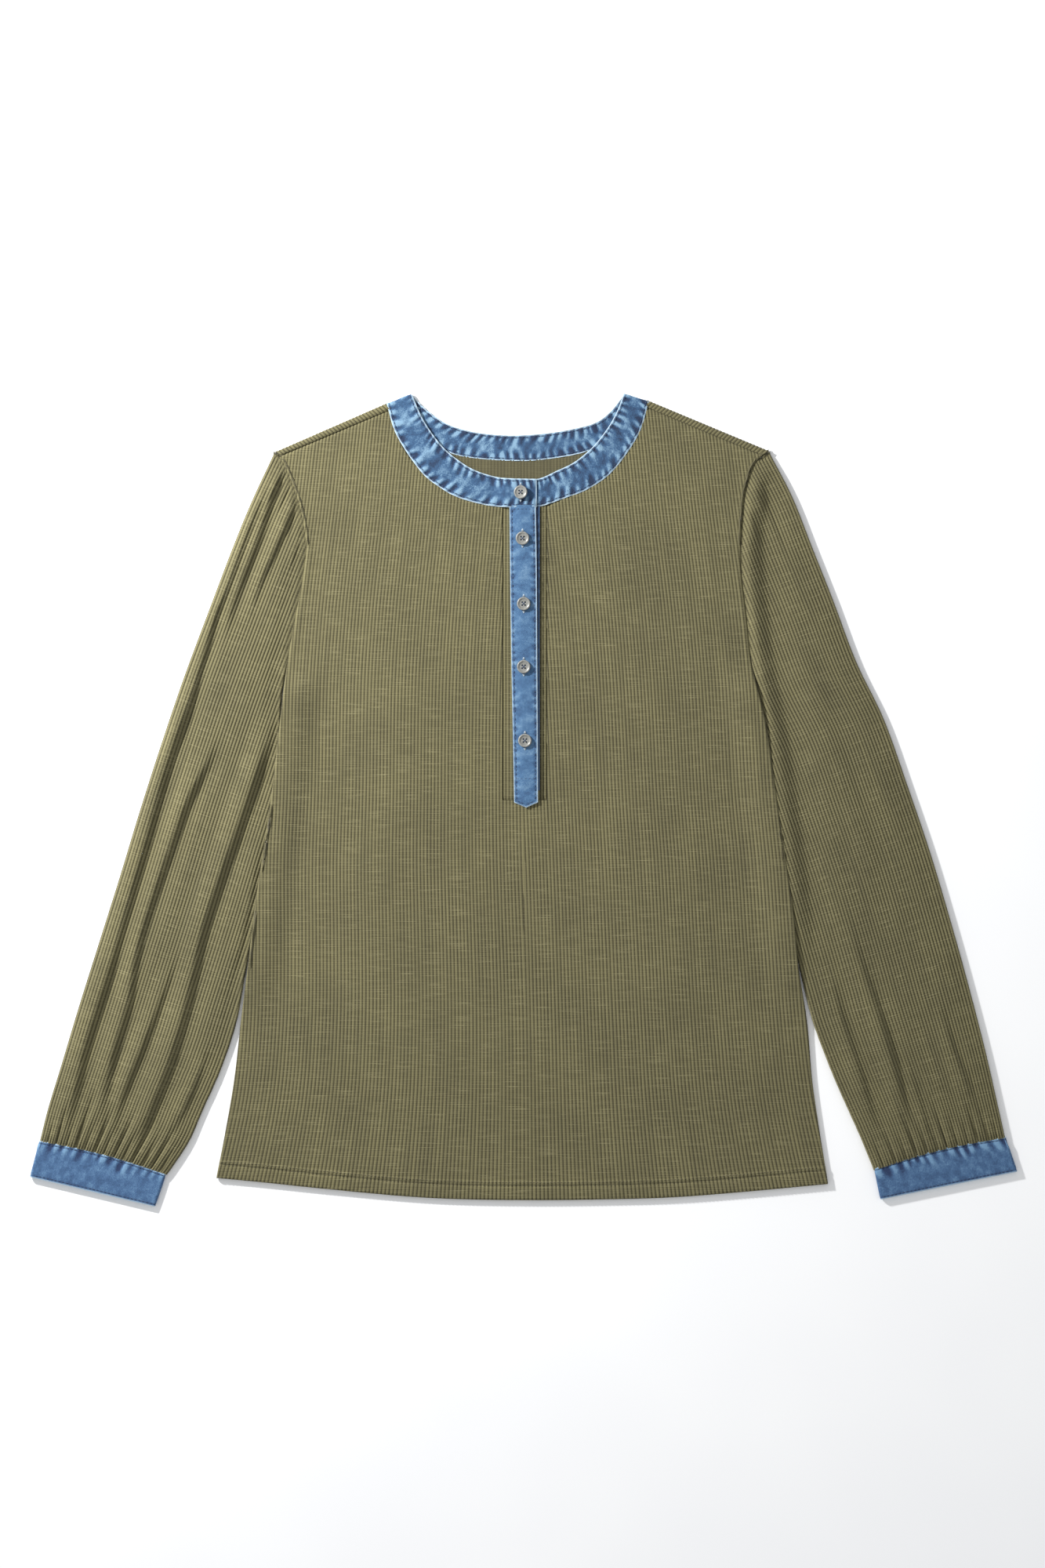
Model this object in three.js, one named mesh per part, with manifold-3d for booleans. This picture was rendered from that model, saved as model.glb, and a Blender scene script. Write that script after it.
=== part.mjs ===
// A henley shirt laid flat, face up, with its neck towards +Y and its hem towards -Y.
// A rib-knit body and sleeves, with a denim neckband, placket and cuffs, and five buttons.
// Left and right are as seen from above, and every size is in millimetres.

import * as THREE from 'three';
import Module from 'manifold-3d';
import { mergeVertices } from 'three/addons/utils/BufferGeometryUtils.js';

const { clamp, lerp, smoothstep } = THREE.MathUtils;

// Cloth thickness, and the air that stays between the layers

const knitWall = 1.2;
const denimWall = 1.3;
const cuffWall = 1.6;
const seamGap = 0.3;
const curvedSeamGap = 0.6;
const bodyAir = 1.0;
const sleeveAir = 1.8;
const cuffAir = 1.0;
const frontTop = 2 * knitWall + bodyAir;
const sleeveTop = 2 * knitWall + sleeveAir;
const cuffTop = 2 * cuffWall + cuffAir;

// Body outline, a row for each height: the armhole seam down to the underarm, then the side edge

const bodySides = [
  { y: 294, left: -209, right: 206 },
  { y: 288, left: -204.5, right: 198 },
  { y: 268, left: -195, right: 188.5 },
  { y: 238, left: -186, right: 184 },
  { y: 212, left: -183, right: 183 },
  { y: 190, left: -185.5, right: 183.5 },
  { y: 160, left: -191, right: 187 },
  { y: 115, left: -199, right: 192 },
  { y: 65, left: -205, right: 203.5 },
  { y: 20, left: -210, right: 210 },
  { y: -36, left: -218, right: 218 },
  { y: -90, left: -226, right: 226 },
  { y: -140, left: -232, right: 231 },
  { y: -186, left: -238, right: 238.5 },
  { y: -237, left: -244, right: 243 },
  { y: -278, left: -251, right: 249 },
  { y: -325, left: -260, right: 256.5 },
];
const shoulderHeight = 294;
const chestHeight = 212;
const underarmHeight = 115;

// Bottom edge of the hem, which dips towards the middle

const hemEdge = [
  { x: -260, y: -317 },
  { x: -227, y: -320 },
  { x: -168, y: -326 },
  { x: -71, y: -334 },
  { x: 0, y: -335.5 },
  { x: 61, y: -335 },
  { x: 127, y: -333 },
  { x: 180, y: -329 },
  { x: 257, y: -322 },
];
const hemDepth = 16;
const hemStep = 0.5;

// Each shoulder: the fold over its top, and the forward seam where the front begins

const shoulders = {
  left: { neckX: -115, neckFold: 335, neckSeam: 327.8, armX: -209, armFold: 294, armSeam: 288.4 },
  right: { neckX: 105, neckFold: 337, neckSeam: 330.6, armX: 206, armFold: 294.8, armSeam: 288.4 },
};
const neckCorner = { inset: 1.8, rise: 0.4, frontClear: 1.2, backClear: 1.4 };
const backNeckGap = 0.7;

// Neckband, half its front each: the edge sewn to the shirt and the free edge, shoulder to end

const bandFrontLeft = [
  { seamX: -106, seamY: 308, freeX: -84, freeY: 320 },
  { seamX: -86, seamY: 278, freeX: -69, freeY: 299 },
  { seamX: -69, seamY: 264, freeX: -53, freeY: 285.5 },
  { seamX: -54, seamY: 256, freeX: -40, freeY: 278 },
  { seamX: -32, seamY: 250, freeX: -24, freeY: 273 },
  { seamX: -12, seamY: 248, freeX: -12, freeY: 271.5 },
  { seamX: 11, seamY: 248, freeX: 11, freeY: 271 },
];
const bandFrontRight = [
  { seamX: 98, seamY: 314, freeX: 78, freeY: 327 },
  { seamX: 88, seamY: 296, freeX: 70, freeY: 313 },
  { seamX: 72, seamY: 276, freeX: 58, freeY: 298 },
  { seamX: 53, seamY: 263, freeX: 43, freeY: 285.5 },
  { seamX: 35, seamY: 256, freeX: 28, freeY: 278 },
  { seamX: 12, seamY: 248.5, freeX: 11, freeY: 271 },
  { seamX: -11.5, seamY: 248, freeX: -11.5, freeY: 271 },
];
const bandBack = [
  { seamX: -97, seamY: 315, freeX: -81, freeY: 329 },
  { seamX: -79, seamY: 302, freeX: -65, freeY: 318 },
  { seamX: -60, seamY: 293, freeX: -47, freeY: 312 },
  { seamX: -40, seamY: 289, freeX: -28, freeY: 309 },
  { seamX: -8, seamY: 287, freeX: -6, freeY: 308 },
  { seamX: 16, seamY: 288, freeX: 21, freeY: 310 },
  { seamX: 50, seamY: 294, freeX: 44, freeY: 314 },
  { seamX: 71, seamY: 304, freeX: 61, freeY: 319 },
  { seamX: 87, seamY: 318, freeX: 73, freeY: 328 },
];
const bandFolds = {
  left: { seamX: -114, seamY: 333, freeX: -93.5, freeY: 341 },
  right: { seamX: 104, seamY: 335, freeX: 83.5, freeY: 341 },
};
const bandLapRampStart = -28;
const bandLapStart = -13;

// Placket: the slit in the front, the knit base that fills it and the denim laps on it

const slit = { left: -18, right: 20, top: 248.4, foot: 1, flatBeside: 14 };
const placketTop = 247.4;
const placketBase = { bottom: 1.6, wall: knitWall };
const placketUnder = { left: -8, right: 13.4, foot: 8, bottom: 3.1, wall: 1.1 };
const placketLap = { bottom: 4.5, wall: 1.1, crown: 0.3, tipX: 2, tipY: -5, tipHalf: 1, tipBottom: 3.8 };
const lapEdges = [
  { y: 247.4, left: -12, right: 10.2 },
  { y: 190, left: -11.4, right: 11 },
  { y: 120, left: -10.4, right: 11.4 },
  { y: 60, left: -9.2, right: 11.8 },
  { y: -1, left: -8, right: 12 },
];

// Buttons: one on the neckband, then four down the placket

const buttons = [
  { x: -2.6, y: 259.7, bottom: 5.6 },
  { x: -1, y: 221, bottom: 6 },
  { x: 0, y: 166, bottom: 6 },
  { x: 0, y: 113, bottom: 6 },
  { x: 1, y: 51, bottom: 6 },
];
const buttonProfile = [
  { radius: 0, z: 0 },
  { radius: 4.5, z: 0 },
  { radius: 5.7, z: 0.8 },
  { radius: 5.7, z: 1.6 },
  { radius: 5.1, z: 2.2 },
  { radius: 4.2, z: 2.1 },
  { radius: 3.6, z: 1.5 },
  { radius: 0, z: 1.5 },
];
const buttonHoles = { count: 4, radius: 0.8, ring: 1.9, depth: 6 };
const buttonSides = 20;
const holeSides = 8;

// Sleeves, a row for each station down the sleeve: the outer edge, the height of the inner edge,
// and how far that edge lies under the side of the body, or clear of it where negative

const sleeveStations = {
  left: [
    { outerX: -209.4, outerY: 294, innerY: 115, under: -0.3 },
    { outerX: -229, outerY: 252, innerY: 86, under: -1 },
    { outerX: -245, outerY: 213, innerY: 58, under: 1 },
    { outerX: -264, outerY: 163, innerY: 24, under: 5 },
    { outerX: -286, outerY: 104, innerY: -18, under: 7 },
    { outerX: -305, outerY: 48, innerY: -60, under: 6 },
    { outerX: -323, outerY: -8, innerY: -100, under: 2 },
    { outerX: -340, outerY: -64, innerY: -146, under: -1.6 },
    { outerX: -357, outerY: -118, innerY: -188, under: -4 },
    { outerX: -374, outerY: -172, innerY: -228, under: -13 },
    { outerX: -389, outerY: -222, innerY: -259, under: -22 },
    { outerX: -400, outerY: -258, innerY: -289, under: -30 },
    { outerX: -407, outerY: -286, innerY: -314, under: -42 },
  ],
  right: [
    { outerX: 206.4, outerY: 294, innerY: 115, under: -0.3 },
    { outerX: 226, outerY: 256, innerY: 88, under: 0.4 },
    { outerX: 243, outerY: 213, innerY: 58, under: 2 },
    { outerX: 260, outerY: 170, innerY: 24, under: 5 },
    { outerX: 280, outerY: 117, innerY: -20, under: 7 },
    { outerX: 303, outerY: 69, innerY: -62, under: 6 },
    { outerX: 323, outerY: 13, innerY: -104, under: 3 },
    { outerX: 342, outerY: -43, innerY: -146, under: -1.6 },
    { outerX: 359, outerY: -100, innerY: -180, under: -4 },
    { outerX: 373, outerY: -150, innerY: -215, under: -13 },
    { outerX: 388, outerY: -208, innerY: -250, under: -24 },
    { outerX: 399, outerY: -256, innerY: -284, under: -34 },
    { outerX: 405, outerY: -283, innerY: -309, under: -40 },
  ],
};
const edgeRound = { width: 2, outer: 0.5, inner: 0.35 };
const armholeFade = { atShoulder: 0.3, atUnderarm: 0.06 };
const sleeveHeadFade = 0.06;
const rideHeight = sleeveTop + seamGap + 0.1;
const ride = { rampFrom: 115, rampTo: 90, holdTo: -140, clearAt: -195, fullTo: 10, noneFrom: 34 };

// Cuffs: the ends of the top edge, beside the sleeve, and of the bottom edge

const cuffs = {
  left: {
    topOuter: { x: -407.4, y: -286.6 },
    topInner: { x: -300.5, y: -315 },
    bottomOuter: { x: -415.5, y: -316 },
    bottomInner: { x: -310, y: -341 },
  },
  right: {
    topOuter: { x: 405.4, y: -283.6 },
    topInner: { x: 294.5, y: -310 },
    bottomOuter: { x: 415.5, y: -311.5 },
    bottomInner: { x: 300, y: -335 },
  },
};
const cuffBow = 3;

// Soft folds, a row each: three points along it, its half width, and its depth.
// A negative depth is a ridge.

const sleeveFolds = {
  left: [
    { x1: -214, y1: 282, x2: -252, y2: 168, x3: -285, y3: 50, width: 10, depth: 1.2 },
    { x1: -222, y1: 284, x2: -262, y2: 172, x3: -298, y3: 60, width: 9, depth: -2.6 },
    { x1: -283, y1: 70, x2: -326, y2: -70, x3: -386, y3: -268, width: 10, depth: 1.2 },
    { x1: -300, y1: 40, x2: -340, y2: -80, x3: -392, y3: -250, width: 9, depth: -2.4 },
    { x1: -310, y1: -60, x2: -327, y2: -178, x3: -374, y3: -284, width: 8, depth: 1.1 },
    { x1: -296, y1: -40, x2: -316, y2: -160, x3: -356, y3: -276, width: 10, depth: -2.8 },
    { x1: -214, y1: 50, x2: -266, y2: -100, x3: -328, y3: -292, width: 10, depth: 1.2 },
    { x1: -232, y1: 62, x2: -278, y2: -80, x3: -312, y3: -210, width: 12, depth: -2.6 },
    { x1: -203, y1: 266, x2: -211, y2: 219, x3: -228, y3: 170, width: 6, depth: 1 },
    { x1: -252, y1: -80, x2: -272, y2: -180, x3: -304, y3: -270, width: 9, depth: -2 },
  ],
  right: [
    { x1: 284, y1: -100, x2: 303, y2: -190, x3: 333, y3: -288, width: 9, depth: 1.2 },
    { x1: 300, y1: -60, x2: 322, y2: -180, x3: 350, y3: -280, width: 11, depth: -2.2 },
    { x1: 268, y1: -170, x2: 284, y2: -228, x3: 305, y3: -298, width: 7, depth: 1.1 },
    { x1: 274, y1: -90, x2: 288, y2: -190, x3: 318, y3: -288, width: 8, depth: -2 },
    { x1: 361, y1: -190, x2: 374, y2: -237, x3: 386, y3: -276, width: 8, depth: 1 },
    { x1: 226, y1: 200, x2: 268, y2: 60, x3: 316, y3: -100, width: 26, depth: -1.8 },
    { x1: 202, y1: 284, x2: 206, y2: 262, x3: 210, y3: 236, width: 5, depth: 0.9 },
  ],
};
const frontFolds = [
  { x1: 2, y1: -8, x2: 3, y2: -35, x3: 1, y3: -72, width: 9, depth: -0.9 },
  { x1: -120, y1: 120, x2: -110, y2: 0, x3: -140, y3: -160, width: 26, depth: -1 },
  { x1: 90, y1: 60, x2: 120, y2: -80, x3: 110, y3: -220, width: 30, depth: -1.1 },
  { x1: 40, y1: 220, x2: 90, y2: 190, x3: 150, y3: 180, width: 16, depth: -0.7 },
];
const foldSteps = 10;
const foldEndFade = 0.18;

// Gathers, where the sleeve is eased into its cuff

const cuffGathers = { count: 9, height: 1.5, length: 0.13, sway: 1.3, swayTurns: 9, calmsFolds: 0.6 };
const foldLimits = { lowest: -1.2, highest: 3.4, thickening: 0.45 };
const foldEdgeFade = { outerFrom: 2, innerFrom: 9, to: 20 };

// Colours from the cloth, dry and washed

const knit = { color: 0x837b56, roughness: 0.92, metalness: 0 };
const denim = { color: 0x6b8db8, roughness: 0.85, metalness: 0 };
const buttonResin = { color: 0xb4afa6, roughness: 0.5, metalness: 0 };

const shirt = new THREE.Group();

function addPiece(name, geometry, look) {
  geometry.computeVertexNormals();
  const piece = new THREE.Mesh(geometry, new THREE.MeshStandardMaterial(look));
  piece.name = name;
  shirt.add(piece);
}

// Reads one column of a table along a smooth curve

function columnOf(table, key, column) {
  const rows = [...table].sort((a, b) => a[key] - b[key]);
  const keys = rows.map((row) => row[key]);
  const curve = new THREE.CubicInterpolant(keys, rows.map((row) => row[column]), 1);
  return (at) => curve.evaluate(clamp(at, keys[0], keys[keys.length - 1]))[0];
}

const hemAt = columnOf(hemEdge, 'x', 'y');

// Heights down one column, with a number of even steps between each two bounds

function steps(bounds, counts) {
  const heights = [bounds[0]];
  counts.forEach((count, zone) => {
    for (let i = 1; i <= count; i++) heights.push(lerp(bounds[zone], bounds[zone + 1], i / count));
  });
  return heights;
}

// Rows of the body panels: shoulder to chest, to underarm, to the foot of the slit, to the hem's
// seam and to its edge. Both panels and both sleeves share the straight steps of the side edges.

const panelSteps = [4, 4, 4, 7, 2];
const lowestHem = -335.5;
const armholeBlend = 0.1;

function sideEdge(side) {
  const smooth = columnOf(bodySides, 'y', side);
  const bounds = [shoulderHeight, chestHeight, underarmHeight, slit.foot, lowestHem];
  const heights = steps(bounds, panelSteps.slice(0, 4)).reverse();
  const line = new THREE.LinearInterpolant(heights, heights.map(smooth), 1);
  return (y) => line.evaluate(clamp(y, lowestHem, shoulderHeight))[0];
}

const sideAt = { left: sideEdge('left'), right: sideEdge('right') };

// One column of a body panel, from its top end down to the hem

function panelColumn(top, side) {
  const slitX = side === 'left' ? slit.left : slit.right;
  const edge = sideAt[side];
  const share = (top.x - edge(top.y)) / (slitX - edge(top.y));
  const hemY = hemAt(lerp(edge(lowestHem), slitX, share));
  const start = top.y + (shoulderHeight - top.y) * (1 - smoothstep(share, 0, armholeBlend));
  const bounds = [start, chestHeight, underarmHeight, slit.foot, hemY + hemDepth, hemY];
  const heights = steps(bounds, panelSteps);
  heights[0] = top.y;
  return heights.map((y) => ({ x: lerp(edge(y), slitX, share), y }));
}

// Height of a shoulder's fold or seam at one place across

function shoulderLine(side, line, x) {
  const row = shoulders[side];
  const share = (x - row.neckX) / (row.armX - row.neckX);
  return lerp(row[`neck${line}`], row[`arm${line}`], share);
}

// A closed wall between two matching grids of points, with rims round its open edges.
// keep says which cells are cloth, and wrap joins the last column to the first.

function wall(outer, inner, { wrap = false, keep = () => true } = {}) {
  const rows = outer.length;
  const columns = outer[0].length;
  const cellColumns = wrap ? columns : columns - 1;
  const points = [...outer.flat(), ...inner.flat()];
  const inside = rows * columns;
  const index = (row, column) => row * columns + (column % columns);
  const isCloth = (row, column) => {
    const inRows = row >= 0 && row < rows - 1;
    const inColumns = wrap || (column >= 0 && column < cellColumns);
    return inRows && inColumns && keep(row, (column + cellColumns) % cellColumns);
  };
  const corners = [];
  const quad = (a, b, c, d) => corners.push(a, b, c, a, c, d);
  const rim = (a, b) => quad(b, a, inside + a, inside + b);
  for (let row = 0; row < rows - 1; row++) {
    for (let column = 0; column < cellColumns; column++) {
      if (!isCloth(row, column)) continue;
      const a = index(row, column);
      const b = index(row + 1, column);
      const c = index(row + 1, column + 1);
      const d = index(row, column + 1);
      quad(a, b, c, d);
      quad(inside + a, inside + d, inside + c, inside + b);
      if (!isCloth(row, column - 1)) rim(a, b);
      if (!isCloth(row + 1, column)) rim(b, c);
      if (!isCloth(row, column + 1)) rim(c, d);
      if (!isCloth(row - 1, column)) rim(d, a);
    }
  }
  let volume = 0;
  for (let i = 0; i < corners.length; i += 3) {
    const [a, b, c] = [points[corners[i]], points[corners[i + 1]], points[corners[i + 2]]];
    volume += a.dot(new THREE.Vector3().crossVectors(b, c));
  }
  if (volume < 0) corners.reverse();
  const geometry = new THREE.BufferGeometry();
  const positions = corners.flatMap((corner) => points[corner].toArray());
  geometry.setAttribute('position', new THREE.Float32BufferAttribute(positions, 3));
  return mergeVertices(geometry);
}

// Height that a set of folds adds at a point

function reliefOf(folds) {
  const lines = folds.map((fold) => ({
    ...fold,
    points: new THREE.CatmullRomCurve3([
      new THREE.Vector3(fold.x1, fold.y1, 0),
      new THREE.Vector3(fold.x2, fold.y2, 0),
      new THREE.Vector3(fold.x3, fold.y3, 0),
    ]).getPoints(foldSteps),
  }));
  return (x, y) => {
    const here = new THREE.Vector3(x, y, 0);
    let height = 0;
    for (const { points, width, depth } of lines) {
      let nearest = Infinity;
      let along = 0;
      for (let i = 0; i < foldSteps; i++) {
        const step = new THREE.Line3(points[i], points[i + 1]);
        const share = step.closestPointToPointParameter(here, true);
        const distance = step.at(share, new THREE.Vector3()).distanceTo(here);
        if (distance < nearest) {
          nearest = distance;
          along = (i + share) / foldSteps;
        }
      }
      const fade = smoothstep(along, 0, foldEndFade) * smoothstep(1 - along, 0, foldEndFade);
      height -= depth * fade * Math.exp(-((nearest / width) ** 2));
    }
    return height;
  };
}

// How far the side of the body is lifted where it rides over a sleeve

function rideLift(x, y) {
  const inset = Math.min(x - sideAt.left(y), sideAt.right(y) - x);
  const down = 1 - smoothstep(y, ride.rampTo, ride.rampFrom);
  const up = smoothstep(y, ride.clearAt, ride.holdTo);
  return rideHeight * down * up * (1 - smoothstep(inset, ride.fullTo, ride.noneFrom));
}

// The body's edges are slightly rounded, and a point's inset says how near it is to one

function edgeDrop(x, y) {
  const inset = Math.min(x - sideAt.left(y), sideAt.right(y) - x);
  return 1 - smoothstep(inset, 0, edgeRound.width);
}

// Front

const shoulderShares = [0, 0.02, 0.09, 0.17, 0.3, 0.5, 0.75, 1];
const slitColumnShares = [1 / 3, 2 / 3];
const neckSamples = 9;

function neckCurve(rows) {
  return new THREE.CatmullRomCurve3(rows.map((row) => new THREE.Vector3(row.seamX, row.seamY, 0)));
}

// Top ends of the front's columns on one side: along the shoulder seam, then round the neck

function frontTops(side) {
  const sign = side === 'left' ? -1 : 1;
  const row = shoulders[side];
  const corner = { seamX: row.neckX - sign * neckCorner.inset, seamY: row.neckSeam + neckCorner.rise };
  const table = side === 'left' ? bandFrontLeft : bandFrontRight;
  const curve = neckCurve([corner, ...table.slice(0, 5)]);
  const tops = shoulderShares.map((share) => {
    const x = lerp(sideAt[side](row.armSeam), corner.seamX + sign * neckCorner.frontClear, share);
    return new THREE.Vector3(x, shoulderLine(side, 'Seam', x) - seamGap, 0);
  });
  for (let i = 1; i <= neckSamples; i++) {
    const at = curve.getPoint(i / neckSamples);
    const along = curve.getTangent(i / neckSamples);
    const away = new THREE.Vector3(sign * Math.abs(along.y), -Math.abs(along.x), 0);
    tops.push(at.addScaledVector(away.normalize(), curvedSeamGap));
  }
  const slitX = side === 'left' ? slit.left : slit.right;
  tops.push(new THREE.Vector3(slitX, slit.top, 0));
  return tops;
}

const frontRelief = reliefOf(frontFolds);

function frontPoint(x, y, outer) {
  const drop = edgeDrop(x, y);
  const lift = rideLift(x, y);
  const besideSlit = smoothstep(Math.abs(x), slit.right, slit.right + slit.flatBeside);
  const fold = Math.max(0, frontRelief(x, y)) * (y < placketLap.tipY ? 1 : besideSlit);
  const hem = y < hemAt(x) + hemDepth - hemStep ? hemStep : 0;
  const rounded = outer ? edgeRound.outer : edgeRound.inner;
  const base = outer ? frontTop + hem : frontTop - knitWall;
  return new THREE.Vector3(x, y, base + lift + fold * (1 - drop) - rounded * drop);
}

function makeFront() {
  const left = frontTops('left').map((top) => panelColumn(top, 'left'));
  const right = frontTops('right').map((top) => panelColumn(top, 'right'));
  const leftEdge = left[left.length - 1];
  const rightEdge = right[right.length - 1];
  const middle = slitColumnShares.map((share) =>
    leftEdge.map((point, i) => ({
      x: lerp(point.x, rightEdge[i].x, share),
      y: lerp(point.y, rightEdge[i].y, share),
    })));
  const columns = [...left, ...middle, ...right.reverse()];
  const grid = (outer) =>
    columns[0].map((_, row) => columns.map((column) => frontPoint(column[row].x, column[row].y, outer)));
  const slitRows = panelSteps[0] + panelSteps[1] + panelSteps[2];
  const inSlit = (row, column) =>
    row < slitRows && column >= left.length - 1 && column < left.length + middle.length;
  return wall(grid(true), grid(false), { keep: (row, column) => !inSlit(row, column) });
}

addPiece('front', makeFront(), knit);

// Back: it folds over the shoulders to the forward seams, and has the neckline cut out

const backNeckColumns = 10;
const foldAngles = [90, 45, 0, -45, -90];
const centrePleat = [{ x1: -4, y1: 300, x2: -4, y2: 276, x3: -4, y3: 254, width: 5, depth: -0.6 }];
const pleatRelief = reliefOf(centrePleat);

function backPoint(x, y, outer) {
  const drop = edgeDrop(x, y);
  const lift = rideLift(x, y);
  const pleat = outer ? 0 : pleatRelief(x, y);
  const rounded = outer ? edgeRound.outer : edgeRound.inner;
  return new THREE.Vector3(x, y, (outer ? 0 : knitWall) + lift + pleat + rounded * drop);
}

function backNeckTops() {
  const curve = neckCurve(bandBack);
  const tops = [];
  for (let i = 0; i <= backNeckColumns; i++) {
    const at = curve.getPoint(i / backNeckColumns);
    tops.push({ x: at.x, y: at.y - backNeckGap, seam: null });
  }
  return tops;
}

// Top ends of the back's columns on one shoulder, each with its fold and forward seam

function backShoulderTops(side) {
  const sign = side === 'left' ? -1 : 1;
  const row = shoulders[side];
  const foldCentre = (x) => shoulderLine(side, 'Fold', x) - frontTop / 2;
  const armX = sideAt[side](foldCentre(row.armX));
  const armholeFall = (shoulderHeight - chestHeight) / panelSteps[0];
  const armholeLean = (row.armX - sideAt[side](shoulderHeight - armholeFall)) / armholeFall;
  return shoulderShares.map((share) => {
    const x = lerp(armX, row.neckX + sign * neckCorner.backClear, share);
    const armholeY = shoulderHeight - (row.armX - x) / armholeLean;
    const seam = Math.max(shoulderLine(side, 'Seam', x), armholeY);
    return { x, y: foldCentre(x), seam: Math.min(seam, foldCentre(x) - seamGap) };
  });
}

function makeBack() {
  const neck = backNeckTops();
  const radiusOuter = frontTop / 2;
  const column = (top, side, outer) => {
    const radius = outer ? radiusOuter : radiusOuter - knitWall;
    const panel = panelColumn(top, side).map(({ x, y }) => backPoint(x, y, outer));
    const edge = new THREE.Vector3(top.x, top.seam ?? top.y, radiusOuter + radius);
    const bend = foldAngles.slice(0, -1).map((angle) => {
      const turn = THREE.MathUtils.degToRad(angle);
      const y = top.y + radius * Math.cos(turn);
      return new THREE.Vector3(top.x, y, radiusOuter + radius * Math.sin(turn));
    });
    return [edge, ...bend, ...panel];
  };
  const middle = Math.floor(neck.length / 2);
  const leftTops = [...backShoulderTops('left'), ...neck.slice(0, middle)];
  const rightTops = [...neck.slice(middle), ...backShoulderTops('right').reverse()];
  const grid = (outer) => {
    const columns = [
      ...leftTops.map((top) => column(top, 'left', outer)),
      ...rightTops.map((top) => column(top, 'right', outer)),
    ];
    return columns[0].map((_, row) => columns.map((points) => points[row]));
  };
  const neckFrom = shoulderShares.length - 1;
  const neckTo = neckFrom + neck.length;
  const keep = (row, at) => row >= foldAngles.length || at < neckFrom || at > neckTo;
  return wall(grid(true), grid(false), { keep });
}

addPiece('back', makeBack(), knit);

// Across a flattened tube: the share of its width, and how far it is bent round at that place

function tubeRing(topCount, bottomCount) {
  const ring = [];
  for (let i = 0; i <= topCount; i++) ring.push({ share: i / topCount, top: true });
  for (let i = bottomCount - 1; i > 0; i--) ring.push({ share: i / bottomCount, top: false });
  return ring;
}

// Points round one station of a flattened tube. place gives the point at a share of the width,
// and height the cloth's top there. Both edges are bevelled. slants holds the sine of the angle
// at which the station meets each edge, so that the wall keeps its thickness where they slant.

function ringPoints(ring, { width, slants, place, height, thickness, inset }) {
  return ring.map(({ share, top }) => {
    const crown = height(share);
    const middle = height(0) / 2;
    const reach = middle - inset;
    const isOuterEdge = share === 0;
    const isInnerEdge = share === 1;
    const outerCorner = middle / (width * slants.outer);
    const innerCorner = middle / (width * slants.inner);
    if (isOuterEdge) return place(inset / (width * slants.outer)).setZ(middle);
    if (isInnerEdge) return place(1 - inset / (width * slants.inner)).setZ(middle);
    const at = place(lerp(outerCorner, 1 - innerCorner, share));
    if (!top) return at.setZ(middle - reach);
    return at.setZ(inset > 0 ? crown - thickness(share) : crown);
  });
}

// Sleeves: flattened tubes from the armhole to the cuff

const sleeveRows = 20;
const sleeveRing = tubeRing(28, 6);
const gatherBowFrom = 0.8;
const slantReach = 0.05;
const leastSlant = 0.3;

// Sine of the angle at which a line meets an edge

function slantOf(from, to, tangent) {
  const line = to.clone().sub(from).normalize();
  return Math.max(leastSlant, line.cross(tangent).length());
}

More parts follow.
